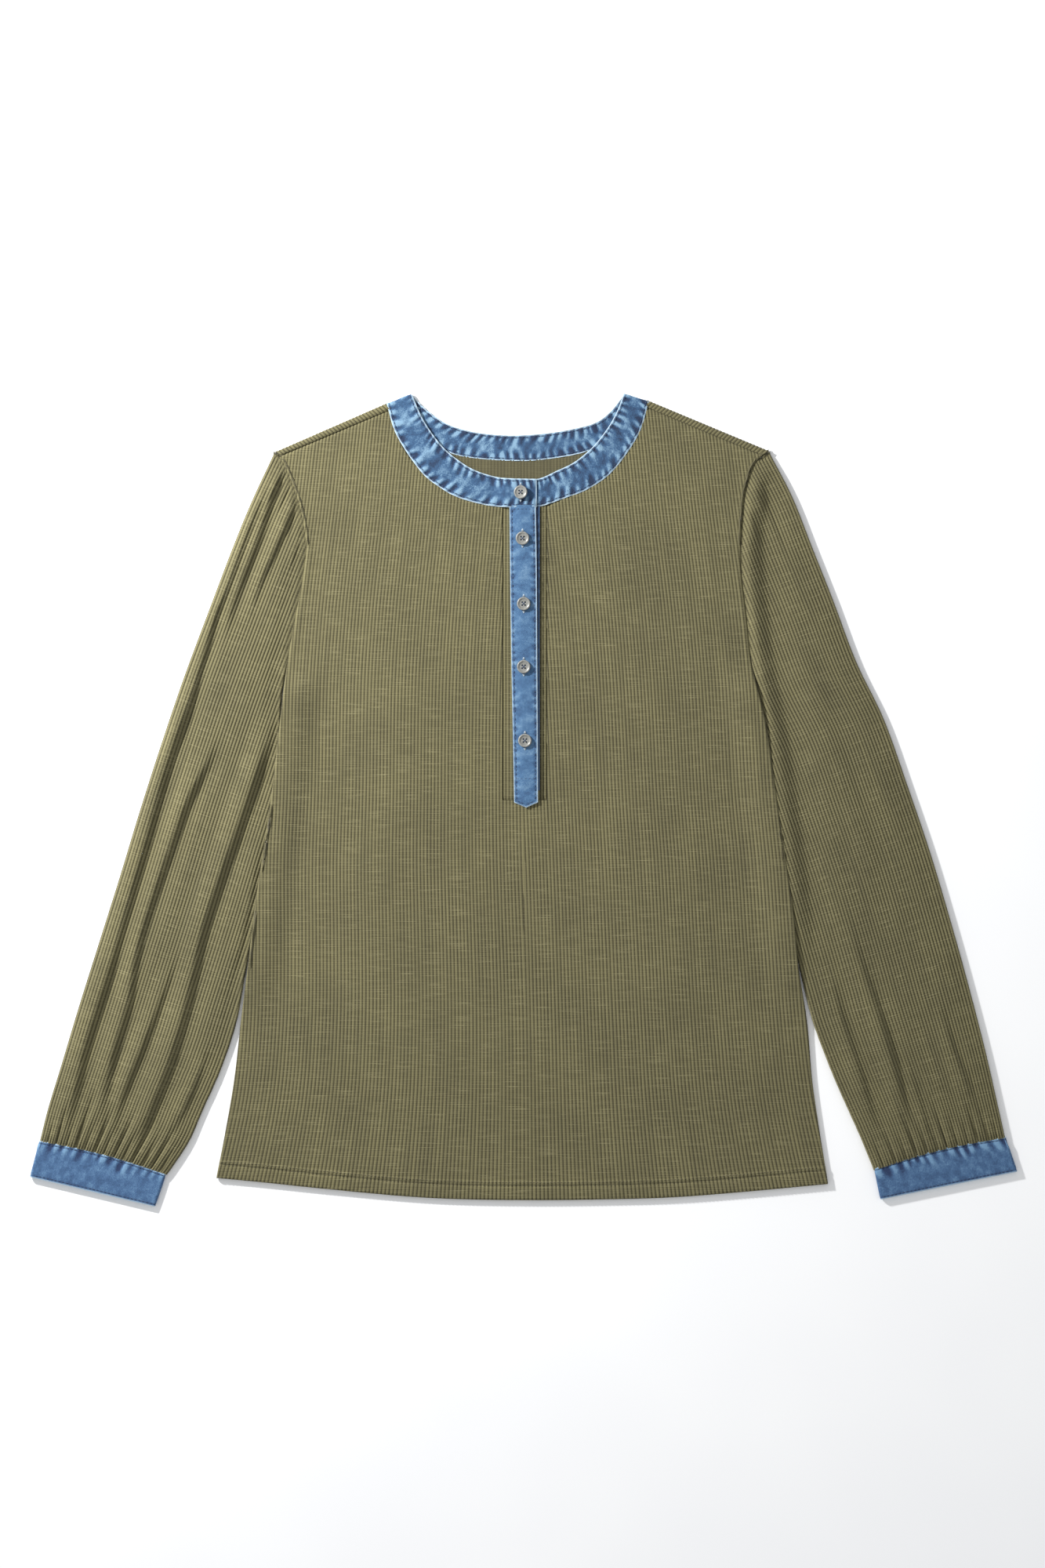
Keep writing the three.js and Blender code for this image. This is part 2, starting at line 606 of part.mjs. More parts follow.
function makeSleeve(side) {
  const sign = side === 'left' ? -1 : 1;
  const stations = sleeveStations[side];
  const outerCurve = new THREE.CatmullRomCurve3(
    stations.map((row) => new THREE.Vector3(row.outerX, row.outerY, 0)));
  const innerCurve = new THREE.CatmullRomCurve3(
    stations.map((row) => new THREE.Vector3(sideAt[side](row.innerY) - sign * row.under, row.innerY, 0)));
  const relief = reliefOf(sleeveFolds[side]);
  const armhole = (share) => {
    const y = lerp(shoulderHeight, underarmHeight, clamp(share, 0, 1));
    return new THREE.Vector3(sideAt[side](y) + sign * curvedSeamGap, y, 0);
  };
  const firstOuter = outerCurve.getPoint(0);
  const firstInner = innerCurve.getPoint(0);

  const station = (down, inset) => {
    const outerEdge = outerCurve.getPoint(down);
    const innerEdge = innerCurve.getPoint(down);
    const fade = (share) =>
      1 - smoothstep(down, 0, lerp(armholeFade.atShoulder, armholeFade.atUnderarm, share));
    const width = outerEdge.distanceTo(innerEdge);
    const bow = cuffBow * smoothstep(down, gatherBowFrom, 1);
    const place = (share) => {
      const straight = outerEdge.clone().lerp(innerEdge, share);
      straight.y += bow * Math.sin(Math.PI * clamp(share, 0, 1));
      const headLine = firstOuter.clone().lerp(firstInner, share);
      return straight.addScaledVector(armhole(share).sub(headLine), fade(share));
    };
    const fold = (share) => {
      const at = place(share);
      const fromOuter = share * width;
      const fromInner = (1 - share) * width;
      const edges = smoothstep(fromOuter, foldEdgeFade.outerFrom, foldEdgeFade.to)
        * smoothstep(fromInner, foldEdgeFade.innerFrom, foldEdgeFade.to);
      const head = smoothstep(down, 0, sleeveHeadFade);
      const gathered = smoothstep(down, 1 - cuffGathers.length, 1);
      const sway = cuffGathers.sway * Math.sin(cuffGathers.swayTurns * share);
      const wave = 0.5 + 0.5 * Math.cos(2 * Math.PI * cuffGathers.count * share + sway);
      const lines = relief(at.x, at.y) * (1 - cuffGathers.calmsFolds * gathered) * edges * head;
      return clamp(lines, foldLimits.lowest, foldLimits.highest)
        + cuffGathers.height * gathered * wave * edges;
    };
    const head = smoothstep(down, 0, sleeveHeadFade);
    const height = (share) => lerp(frontTop, sleeveTop, head) + fold(share);
    const thickness = (share) => knitWall + foldLimits.thickening * Math.max(0, fold(share));
    const slants = {
      outer: slantOf(place(0), place(slantReach), outerCurve.getTangent(down)),
      inner: slantOf(place(1), place(1 - slantReach), innerCurve.getTangent(down)),
    };
    return ringPoints(sleeveRing, { width, slants, place, height, thickness, inset });
  };
  const grid = (inset) => {
    const rows = [];
    for (let i = 0; i <= sleeveRows; i++) rows.push(station(i / sleeveRows, inset));
    return rows;
  };
  return wall(grid(0), grid(knitWall), { wrap: true });
}

addPiece('sleeve_left', makeSleeve('left'), knit);
addPiece('sleeve_right', makeSleeve('right'), knit);

// Cuffs: short flattened tubes that close the gathered sleeves

const cuffRing = tubeRing(20, 6);
const cuffRows = 3;

function makeCuff(side) {
  const sizes = cuffs[side];
  const point = ({ x, y }) => new THREE.Vector3(x, y, 0);
  const station = (down, inset) => {
    const outerEdge = point(sizes.topOuter).lerp(point(sizes.bottomOuter), down);
    const innerEdge = point(sizes.topInner).lerp(point(sizes.bottomInner), down);
    const place = (share) => {
      const at = outerEdge.clone().lerp(innerEdge, share);
      const bow = cuffBow * (1 - down) * Math.sin(Math.PI * clamp(share, 0, 1));
      return at.setY(at.y + bow);
    };
    const width = outerEdge.distanceTo(innerEdge);
    const slants = { outer: 1, inner: 1 };
    const height = () => cuffTop;
    return ringPoints(cuffRing, { width, slants, place, height, thickness: () => cuffWall, inset });
  };
  const grid = (inset) => {
    const rows = [];
    for (let i = 0; i <= cuffRows; i++) rows.push(station(i / cuffRows, inset));
    return rows;
  };
  return wall(grid(0), grid(cuffWall), { wrap: true });
}

addPiece('cuff_left', makeCuff('left'), denim);
addPiece('cuff_right', makeCuff('right'), denim);

// Neckband: one strip that starts at the placket, folds over both shoulders and ends under its start

const bandHeights = { back: denimWall / 2, front: 3, lap: 4.6 };
const bandFoldAngles = [60, 0, -60];
const bandSteps = { left: 16, back: 18, right: 14 };
const bandAcross = 2;

function bandStation(row, z, normal) {
  return {
    seam: new THREE.Vector3(row.seamX, row.seamY, z),
    free: new THREE.Vector3(row.freeX, row.freeY, z),
    normal,
  };
}

// Smooth rows between the given ones

function bandRows(table, count) {
  const points = (x, y) =>
    new THREE.CatmullRomCurve3(table.map((row) => new THREE.Vector3(row[x], row[y], 0)));
  const seam = points('seamX', 'seamY');
  const free = points('freeX', 'freeY');
  const rows = [];
  for (let i = 0; i <= count; i++) {
    const [a, b] = [seam.getPoint(i / count), free.getPoint(i / count)];
    rows.push({ seamX: a.x, seamY: a.y, freeX: b.x, freeY: b.y });
  }
  return rows;
}

function bandFold(side) {
  const row = bandFolds[side];
  const sign = side === 'left' ? -1 : 1;
  const radius = (bandHeights.front - bandHeights.back) / 2;
  const middle = (bandHeights.front + bandHeights.back) / 2;
  const along = new THREE.Vector3(row.freeX - row.seamX, row.freeY - row.seamY, 0).normalize();
  const out = new THREE.Vector3(-along.y * -sign, along.x * -sign, 0);
  return bandFoldAngles.map((angle) => {
    const turn = THREE.MathUtils.degToRad(angle);
    const shift = out.clone().multiplyScalar(radius * Math.cos(turn));
    const normal = out.clone().multiplyScalar(Math.cos(turn)).setZ(Math.sin(turn));
    const station = bandStation(row, middle + radius * Math.sin(turn), normal);
    station.seam.add(shift);
    station.free.add(shift);
    return station;
  });
}

function makeNeckband() {
  const up = new THREE.Vector3(0, 0, 1);
  const down = new THREE.Vector3(0, 0, -1);
  const lapped = (row) => {
    const share = smoothstep(row.seamX, bandLapRampStart, bandLapStart);
    return lerp(bandHeights.front, bandHeights.lap, share);
  };
  const left = bandRows([bandFolds.left, ...bandFrontLeft], bandSteps.left)
    .map((row) => bandStation(row, lapped(row), up));
  const back = bandRows([bandFolds.left, ...bandBack, bandFolds.right], bandSteps.back)
    .map((row) => bandStation(row, bandHeights.back, down));
  const right = bandRows([bandFolds.right, ...bandFrontRight], bandSteps.right)
    .map((row) => bandStation(row, bandHeights.front, up));
  const stations = [
    ...left.reverse(),
    ...bandFold('left'),
    ...back,
    ...bandFold('right').reverse(),
    ...right,
  ];
  const grid = (offset) => stations.map(({ seam, free, normal }) => {
    const points = [];
    for (let i = 0; i <= bandAcross; i++) {
      points.push(seam.clone().lerp(free, i / bandAcross).addScaledVector(normal, offset));
    }
    return points;
  });
  return wall(grid(denimWall / 2), grid(-denimWall / 2));
}

addPiece('neckband', makeNeckband(), denim);

// Placket: a knit base in the slit, the denim under lap and the pointed top lap

const stripRows = 8;
const stripAcross = [0, 0.12, 0.5, 0.88, 1];

function strip(rows, bottom, thickness, crown = 0) {
  const grid = (z) => rows.map(({ y, left, right, drop = 0 }) => stripAcross.map((share) => {
    const swell = z > 0 ? crown * Math.sin(Math.PI * share) : 0;
    return new THREE.Vector3(lerp(left, right, share), y, bottom + z + swell - drop);
  }));
  return wall(grid(thickness), grid(0));
}

function evenRows(top, foot, count, edges) {
  const rows = [];
  for (let i = 0; i <= count; i++) {
    const y = lerp(top, foot, i / count);
    rows.push({ y, ...edges(y) });
  }
  return rows;
}

const baseRows = evenRows(placketTop, slit.foot + seamGap, stripRows, () => ({
  left: slit.left + seamGap,
  right: slit.right - seamGap,
}));
addPiece('placket_base', strip(baseRows, placketBase.bottom, placketBase.wall), knit);

const underRows = evenRows(placketTop, placketUnder.foot, stripRows, () => placketUnder);
addPiece('placket_under', strip(underRows, placketUnder.bottom, placketUnder.wall), denim);

const lapLeft = columnOf(lapEdges, 'y', 'left');
const lapRight = columnOf(lapEdges, 'y', 'right');
const lapFoot = lapEdges[lapEdges.length - 1].y;
const lapRows = evenRows(placketTop, lapFoot, stripRows, (y) => ({ left: lapLeft(y), right: lapRight(y) }));
lapRows.push({
  y: placketLap.tipY,
  left: placketLap.tipX - placketLap.tipHalf,
  right: placketLap.tipX + placketLap.tipHalf,
  drop: placketLap.bottom - placketLap.tipBottom,
});
addPiece('placket_top', strip(lapRows, placketLap.bottom, placketLap.wall, placketLap.crown), denim);

// Buttons: turned discs with a raised rim and four holes

const manifold = await Module();
manifold.setup();
const weldDistance = 1e-4;

function solidOf(geometry) {
  geometry.deleteAttribute('normal');
  geometry.deleteAttribute('uv');
  const merged = mergeVertices(geometry, weldDistance);
  return new manifold.Manifold(new manifold.Mesh({
    numProp: 3,
    vertProperties: new Float32Array(merged.attributes.position.array),
    triVerts: new Uint32Array(merged.index.array),
  }));
}

function makeButton() {
  const profile = buttonProfile.map(({ radius, z }) => new THREE.Vector2(radius, z));
  const disc = new THREE.LatheGeometry(profile, buttonSides).rotateX(Math.PI / 2);
  let solid = solidOf(disc);
  for (let i = 0; i < buttonHoles.count; i++) {
    const turn = ((i + 0.5) / buttonHoles.count) * 2 * Math.PI;
    const { radius, ring, depth } = buttonHoles;
    const hole = new THREE.CylinderGeometry(radius, radius, depth, holeSides);
    hole.rotateX(Math.PI / 2);
    hole.translate(ring * Math.cos(turn), ring * Math.sin(turn), 0);
    solid = solid.subtract(solidOf(hole));
  }
  const { vertProperties, triVerts } = solid.getMesh();
  const geometry = new THREE.BufferGeometry();
  geometry.setAttribute('position', new THREE.BufferAttribute(vertProperties, 3));
  geometry.setIndex(new THREE.BufferAttribute(triVerts, 1));
  return geometry;
}

buttons.forEach(({ x, y, bottom }, i) => {
  addPiece(`button_${i + 1}`, makeButton().translate(x, y, bottom), buttonResin);
});

// Origin on the surface, under the middle of the shirt's box

const box = new THREE.Box3().setFromObject(shirt);
const middle = box.getCenter(new THREE.Vector3());
shirt.position.set(-middle.x, -middle.y, -box.min.z);
shirt.updateMatrixWorld(true);

export default shirt;
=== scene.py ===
# %% [markdown]
# A henley shirt, laid flat and face up. Its body and sleeves are a rib knit, and its neckband,
# placket and cuffs are washed denim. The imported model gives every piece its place, so each
# piece here is made from the same drawing, with the finer forms and finishes that cloth has.
# The drawing is in millimetres, seen from above, with the neck towards +Y.

import math

import bmesh
import bpy
import numpy as np
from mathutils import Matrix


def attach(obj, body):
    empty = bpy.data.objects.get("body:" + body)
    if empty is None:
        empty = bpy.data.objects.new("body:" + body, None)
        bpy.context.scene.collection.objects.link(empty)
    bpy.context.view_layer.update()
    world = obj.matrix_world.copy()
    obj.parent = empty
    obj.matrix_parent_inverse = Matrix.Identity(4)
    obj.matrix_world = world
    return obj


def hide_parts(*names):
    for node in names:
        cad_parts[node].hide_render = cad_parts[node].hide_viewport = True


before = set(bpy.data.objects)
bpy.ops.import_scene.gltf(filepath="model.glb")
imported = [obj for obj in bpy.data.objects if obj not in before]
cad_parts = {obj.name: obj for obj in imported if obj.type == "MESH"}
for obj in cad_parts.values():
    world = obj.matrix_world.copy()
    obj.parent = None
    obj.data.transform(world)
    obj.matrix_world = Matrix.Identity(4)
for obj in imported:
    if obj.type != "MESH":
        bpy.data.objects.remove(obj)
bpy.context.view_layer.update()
print("nodes", sorted(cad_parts))

# %% [markdown]
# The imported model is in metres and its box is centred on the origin. One function takes a point
# of the drawing there, so no other line has to think about units.

# %% From the drawing to the model's frame
MILLIMETRE = 0.001
CENTRE_SHIFT = 0.876


def in_frame(points):
    """Points of the drawing, in millimetres, as points of the frame, in metres."""
    moved = np.array(points, float).reshape(-1, 3)
    moved[:, 1] -= CENTRE_SHIFT
    return moved * MILLIMETRE


# %% [markdown]
# The photograph looks straight down. A long lens three metres up keeps the edges from leaning.
# The camera is placed first, because it only needs the size of the picture on the floor.

# %% Camera, straight down
PIXEL = 0.66
PICTURE_HEIGHT = 2000 * PIXEL * MILLIMETRE
PICTURE_CENTRE = (-0.99, 14.52, 0)
CAMERA_HEIGHT = 3.0
SENSOR = 36

camera_data = bpy.data.cameras.new("camera")
camera_data.sensor_fit = "VERTICAL"
camera_data.sensor_height = SENSOR
camera_data.lens = SENSOR * CAMERA_HEIGHT / PICTURE_HEIGHT
camera = bpy.data.objects.new("camera", camera_data)
camera.location = (*in_frame(PICTURE_CENTRE)[0][:2], CAMERA_HEIGHT)
bpy.context.scene.collection.objects.link(camera)
bpy.context.scene.camera = camera
print("lens", round(camera_data.lens, 1), "mm")

# %% [markdown]
# The light in the photograph is low and comes from the upper left: each rib and fold has a
# bright side and a dark side, and the cloth gets darker towards the lower right, farther from
# the lamp. A small lamp at that corner gives both, and a pale sky all round fills the shadows.

# %% Light
LAMP = {"place": (-1.0, 0.77, 0.66), "size": 0.1, "power": 32.5}
SKY_STRENGTH = 0.63

scene = bpy.context.scene
scene.view_settings.view_transform = "Standard"
lamp_data = bpy.data.lights.new("low_lamp", "AREA")
lamp_data.energy = LAMP["power"]
lamp_data.size = LAMP["size"]
lamp = bpy.data.objects.new("low_lamp", lamp_data)
lamp.location = LAMP["place"]
lamp.rotation_mode = "QUATERNION"
lamp.rotation_quaternion = lamp.location.to_track_quat("Z", "Y")
scene.collection.objects.link(lamp)

sky = bpy.data.worlds.new("sky")
sky.use_nodes = True
sky.node_tree.nodes["Background"].inputs["Color"].default_value = (0.97, 0.985, 1, 1)
sky.node_tree.nodes["Background"].inputs["Strength"].default_value = SKY_STRENGTH
scene.world = sky

# %% [markdown]
# Colours are sRGB hex values. They and the light were adjusted until the render looked like the
# photograph and came near its average colour in a few places on the cloth. A shader wants
# linear light, so one function turns them. Another adds a node: it takes the node's settings,
# and for each input a value or the output that feeds it. The rest are the nodes used often.

# %% Colours and nodes
def linear(hex_colour):
    """An sRGB hex colour as linear red, green, blue and alpha."""
    parts = [int(hex_colour[i : i + 2], 16) / 255 for i in (1, 3, 5)]
    return (*[c / 12.92 if c <= 0.04045 else ((c + 0.055) / 1.055) ** 2.4 for c in parts], 1.0)


def add_node(tree, kind, inputs=None, **settings):
    """A node of this kind with its settings, and its inputs set or linked."""
    node = tree.nodes.new("ShaderNode" + kind)
    for key, value in settings.items():
        setattr(node, key, value)
    for key, value in (inputs or {}).items():
        if isinstance(value, bpy.types.NodeSocket):
            tree.links.new(value, node.inputs[key])
        else:
            node.inputs[key].default_value = value
    return node


def new_material(name):
    """An empty material and its tree of nodes."""
    material = bpy.data.materials.new(name)
    material.use_nodes = True
    material.node_tree.nodes.clear()
    return material, material.node_tree


# A mix of two colours has its inputs and its output at these places
FACTOR, COLOUR_A, COLOUR_B, MIXED = 0, 6, 7, 2


def blend(tree, share, a, b):
    """Two colours mixed: each is an output, or a hex colour."""
    a, b = [linear(colour) if isinstance(colour, str) else colour for colour in (a, b)]
    inputs = {FACTOR: share, COLOUR_A: a, COLOUR_B: b}
    return add_node(tree, "Mix", inputs, data_type="RGBA").outputs[MIXED]


def ranged(tree, value, start=0, end=1, low=0, high=1, **settings):
    """A value carried from the range start to end into the range low to high."""
    inputs = {"Value": value, "From Min": start, "From Max": end, "To Min": low, "To Max": high}
    return add_node(tree, "MapRange", inputs, **settings).outputs[0]


def calculated(tree, operation, *values):
    """The result of one operation on these values."""
    return add_node(tree, "Math", dict(enumerate(values)), operation=operation).outputs[0]


def noise(tree, cloth, turns, detail, roughness=0.5):
    """Noise on the cloth. turns is how often it changes a millimetre, across and along."""
    scaled = add_node(tree, "VectorMath", {0: cloth, 1: (*turns, 1)}, operation="MULTIPLY").outputs[0]
    inputs = {"Vector": scaled, "Scale": 1, "Detail": detail, "Roughness": roughness}
    return add_node(tree, "TexNoise", inputs).outputs[0]


def finished(material, colour, height, strength, depth, **surface):
    """The material with its surface and a bump of this depth in millimetres."""
    tree = material.node_tree
    bumps = {"Height": height, "Strength": strength, "Distance": depth * MILLIMETRE}
    bump = add_node(tree, "Bump", bumps).outputs[0]
    inputs = {"Base Color": colour, "Normal": bump}
    for key, value in surface.items():
        inputs[key.replace("_", " ")] = value
    principled = add_node(tree, "BsdfPrincipled", inputs)
    add_node(tree, "OutputMaterial", {"Surface": principled.outputs[0]})
    return material


# %% [markdown]
# The cloth of the body is a cotton rib knit with a slub yarn: smooth ribs run down it, shaded in
# the grooves between them, and thick places in the yarn show as short pale streaks across.
# The ribs are in the mesh, and its UV map counts them: a whole number is a groove, and the
# other coordinate is the way down the cloth in millimetres. So the shader paints shade into each
# groove exactly, and adds the stitches and the slubs, which are too small for the mesh.

# %% Cotton rib knit
COTTON_IOR = 1.53
COURSE = 1.9  # rows of stitches are 0.9 mm apart, and drawn coarser, so that they show


def rib_knit(name, groove, crest, slub):
    """Cotton rib knit, matt, with a soft bloom of loose fibres."""
    material, tree = new_material(name)
    cloth = add_node(tree, "UVMap", uv_map="cloth").outputs["UV"]
    place = add_node(tree, "SeparateXYZ", {0: cloth}).outputs
    ribs, down = place["X"], place["Y"]

    from_groove = calculated(tree, "PINGPONG", ribs, 0.5)
    on_rib = ranged(tree, from_groove, 0.04, 0.36, interpolation_type="SMOOTHSTEP")

    streaks = noise(tree, cloth, (0.13, 1.6), 2, 0.6)
    pale_streak = ranged(tree, streaks, 0.55, 0.72, high=0.62)
    dark_streak = ranged(tree, streaks, 0.45, 0.3, high=0.32)
    broad = noise(tree, cloth, (0.06, 0.018), 3)
    yarn = noise(tree, cloth, (0.9, 0.012), 1)
    brightness = ranged(tree, calculated(tree, "ADD", broad, yarn), 0.7, 1.3, 0.86, 1.12)

    # painted shade: the grooves are coloured darker than the crests
    ribs_with_painted_groove_shade = blend(tree, on_rib, groove, crest)
    shaded = blend(tree, dark_streak, ribs_with_painted_groove_shade, groove)
    slubbed = blend(tree, pale_streak, shaded, slub)
    colour = add_node(tree, "HueSaturation", {"Color": slubbed, "Value": brightness}).outputs[0]

    course = calculated(tree, "PINGPONG", down, COURSE / 2)
    knitted = calculated(tree, "ADD", course, streaks)
    surface = {"Roughness": 0.92, "IOR": COTTON_IOR, "Sheen_Weight": 0.12, "Sheen_Roughness": 0.5}
    return finished(material, colour, knitted, 0.55, 0.25, **surface)


# Each knit's first colour is painted shade for the grooves, the second the cloth's own colour on the
# crests, the third its slubs
olive_knit = rib_knit("olive_cotton_rib_knit", "#3f3a21", "#726c4a", "#8c8562")
olive_inside = rib_knit("olive_knit_inside", "#4d4831", "#595439", "#646043")

# %% [markdown]
# The trim is indigo denim that was sewn first and washed with stones afterwards. The wash takes
# the blue from whatever stands proud: the edges turn nearly white, the crests of the puckers
# along each seam turn pale, and the hollows stay dark. Along each row of stitches the shader
# also paints shade, a darker blue in the stitch channel. The mesh carries two values for this:
# how far a place is from the edge, in millimetres, and how far it stands proud, from -1 to 1.

# %% Stone-washed denim
TWILL = 1.5  # the twill's lines are 0.6 mm apart, and drawn coarser, so that they show
STITCH_INSET = 2.2


def washed_denim(name, dark, middle, pale, worn, mottling, puckering):
    """Stone-washed cotton denim: matt, mottled, with white threads in the blue."""
    material, tree = new_material(name)
    cloth = add_node(tree, "UVMap", uv_map="cloth").outputs["UV"]
    place = add_node(tree, "SeparateXYZ", {0: cloth}).outputs
    edge = add_node(tree, "Attribute", attribute_name="edge").outputs["Fac"]
    proud = add_node(tree, "Attribute", attribute_name="proud").outputs["Fac"]

    wash = noise(tree, cloth, (0.17, 0.12), 4, 0.62)
    flecks = noise(tree, cloth, (1.1, 0.7), 2)
    slant = calculated(tree, "ADD", place["X"], place["Y"])
    twill = calculated(tree, "PINGPONG", slant, TWILL / 2)

    washed = ranged(tree, wash, 0.3, 0.7, -mottling, mottling)
    flecked = ranged(tree, flecks, 0.3, 0.7, -0.14, 0.14)
    lined = ranged(tree, twill, 0, TWILL / 2, -0.06, 0.06)
    tone = calculated(tree, "MULTIPLY_ADD", proud, puckering, 0.5)
    for part in (washed, flecked, lined):
        tone = calculated(tree, "ADD", tone, part)
    blue = blend(tree, ranged(tree, tone, end=0.5), dark, middle)
    faded = blend(tree, ranged(tree, tone, start=0.5), blue, pale)
    ragged = calculated(tree, "MULTIPLY_ADD", flecks, 0.9, edge)
    at_edge = ranged(tree, ragged, 1.65, 1.0, high=0.9)
    # painted shade: the cloth is darkened along the channel of its stitches
    on_stitches = calculated(tree, "COMPARE", edge, STITCH_INSET, 0.55)
    stitch_channel_shaded = blend(tree, calculated(tree, "MULTIPLY", on_stitches, 0.45), faded, dark)
    colour = blend(tree, at_edge, stitch_channel_shaded, worn)

    woven = calculated(tree, "ADD", twill, flecks)
    surface = {"Roughness": 0.86, "IOR": COTTON_IOR, "Sheen_Weight": 0.08}
    return finished(material, colour, woven, 0.5, 0.2, **surface)


band_denim = washed_denim(
    "stone_washed_denim", "#132846", "#315579", "#7b9cb5", "#a9bdcb", mottling=0.3, puckering=0.62
)
placket_denim = washed_denim(
    "faded_denim", "#233f63", "#40658a", "#6f8fab", "#a9bdcb", mottling=0.24, puckering=0.35
)
# painted shade: the under lap's denim is a darker copy of the placket's, standing in for the shade under
# the top lap
shaded_under_denim = washed_denim(
    "under_lap_denim_painted_shade", "#101d36", "#1b3050", "#35537a", "#46658a", mottling=0.2, puckering=0.3
)
cuff_denim = washed_denim(
    "plain_washed_denim", "#182f54", "#3d5f86", "#6c90b1", "#abbfce", mottling=0.22, puckering=0.6
)

# %% [markdown]
# The buttons are cast polyester resin, dyed grey right through and tumbled until they shine a
# little, with a faint grain as horn has. Polyester resin has an IOR near 1.56. The threads are
# spun polyester, two plies twisted together, and here they have only a fine speckle.

# %% Resin and thread
RESIN_IOR = 1.56
POLYESTER_IOR = 1.58


def speckled(name, dark, light, size, roughness, ior):
    """A fine-grained finish: two near colours mixed by a noise of this size in millimetres."""
    material, tree = new_material(name)
    place = add_node(tree, "TexCoord").outputs["Object"]
    inputs = {"Vector": place, "Scale": 1 / (size * MILLIMETRE), "Detail": 3, "Roughness": 0.6}
    grain = add_node(tree, "TexNoise", inputs).outputs[0]
    colour = blend(tree, ranged(tree, grain, 0.35, 0.65), dark, light)
    return finished(material, colour, grain, 0.25, 0.1, Roughness=roughness, IOR=ior)


grey_resin = speckled("cast_polyester_resin", "#757570", "#8e8e89", 1.6, 0.38, RESIN_IOR)
indigo_thread = speckled("indigo_polyester_thread", "#1a2946", "#2c4366", 0.5, 0.7, POLYESTER_IOR)
pale_thread = speckled("pale_polyester_thread", "#889aa8", "#b4bfc6", 0.5, 0.7, POLYESTER_IOR)
olive_thread = speckled("olive_polyester_thread", "#443f28", "#635d43", 0.5, 0.7, POLYESTER_IOR)
floor_paint = speckled("white_floor_paint", "#fbfbfc", "#ffffff", 400, 0.95, 1.5)

# %% Floor
FLOOR_SIZE = 6
FLOOR_DROP = -0.1 * MILLIMETRE
FLOOR_CORNERS = [(-1, -1), (1, -1), (1, 1), (-1, 1)]

floor_mesh = bpy.data.meshes.new("floor")
floor_places = [(x * FLOOR_SIZE, y * FLOOR_SIZE, FLOOR_DROP) for x, y in FLOOR_CORNERS]
floor_mesh.from_pydata(floor_places, [], [(0, 1, 2, 3)])
floor_mesh.materials.append(floor_paint)
floor = bpy.data.objects.new("floor", floor_mesh)
scene.collection.objects.link(floor)

# %% [markdown]
# Each outline was measured on the photograph at a few places, and a smooth curve goes through
# them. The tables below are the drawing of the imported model: the body's sides with the armholes
# above the underarm, the bottom of the hem, and the shoulders.

# %% Smooth curves through measured places
def smoothstep(x, start, end):
    """0 before start, 1 after end, with a soft passage between."""
    share = np.clip((x - start) / (end - start), 0, 1)
    return share * share * (3 - 2 * share)


def hermite(ys, slopes, i, step, t):
    """A cubic between two knots, from their values and slopes."""
    rise = t * t * (3 - 2 * t)
    leave = t * (1 - t) ** 2 * step * slopes[i]
    arrive = t * t * (t - 1) * step * slopes[i + 1]
    return (1 - rise) * ys[i] + rise * ys[i + 1] + leave + arrive


def smooth_line(xs, ys):
    """A function y(x), smooth through the given places."""
    order = np.argsort(xs)
    xs, ys = np.array(xs, float)[order], np.array(ys, float)[order]
    slopes = np.gradient(ys, xs)

    def at(x):
        x = np.clip(x, xs[0], xs[-1])
        i = np.clip(np.searchsorted(xs, x) - 1, 0, len(xs) - 2)
        step = xs[i + 1] - xs[i]
        return hermite(ys, slopes, i, step, (x - xs[i]) / step)

    return at


def smooth_path(points, at):
    """Points on a smooth path: at is a number of each point, and may lie between two."""
    points = np.array(points, float)
    at = np.clip(at, 0, len(points) - 1)
    i = np.clip(np.floor(at).astype(int), 0, len(points) - 2)
    slopes = np.gradient(points, axis=0)
    return hermite(points, slopes, i, 1, (at - i)[:, None])


def mix(a, b, share):
    """Part of the way from a to b."""
    return a + (b - a) * share


# %% The body's outline
BODY_SIDES = [  # y, left, right
    (294, -209, 206),
    (288, -204.5, 198),
    (268, -195, 188.5),
    (238, -186, 184),
    (212, -183, 183),
    (190, -185.5, 183.5),
    (160, -191, 187),
    (115, -199, 192),
    (65, -205, 203.5),
    (20, -210, 210),
    (-36, -218, 218),
    (-90, -226, 226),
    (-140, -232, 231),
    (-186, -238, 238.5),
    (-237, -244, 243),
    (-278, -251, 249),
    (-325, -260, 256.5),
    (-340, -262.5, 258.5),
]
HEM_EDGE = [  # x, y
    (-260, -317),
    (-227, -320),
    (-168, -326),
    (-71, -334),
    (0, -335.5),
    (61, -335),
    (127, -333),
    (180, -329),
    (257, -322),
]
UNDERARM = 115
side_heights, left_sides, right_sides = zip(*BODY_SIDES)
left_side = smooth_line(side_heights, left_sides)
right_side = smooth_line(side_heights, right_sides)
hem_edge = smooth_line(*zip(*HEM_EDGE))

SHOULDERS = {  # the fold over each shoulder, and the forward seam, at the neck and at the arm
    "left": {
        "neck_x": -115, "neck_fold": 335, "neck_seam": 327.8,
        "arm_x": -209, "arm_fold": 294, "arm_seam": 288.4,
    },
    "right": {
        "neck_x": 105, "neck_fold": 337, "neck_seam": 330.6,
        "arm_x": 206, "arm_fold": 294.8, "arm_seam": 288.4,
    },
}


def shoulder_line(side, line, x):
    """Height of a shoulder's fold or seam at one place across."""
    row = SHOULDERS[side]
    share = (x - row["neck_x"]) / (row["arm_x"] - row["neck_x"])
    return mix(row["neck_" + line], row["arm_" + line], share)


def side_inset(x, y):
    """How far a place on the body is from the nearer of its sides."""
    return np.minimum(x - left_side(y), right_side(y) - x)


print("hem width", round(float(right_side(-325) - left_side(-325))), "mm")

# %% [markdown]
# The neckband's tables give its two edges, the one sewn to the shirt and the free one, in pairs
# from the shoulder to the end. The front's neckline is the same line, so it stands here too.

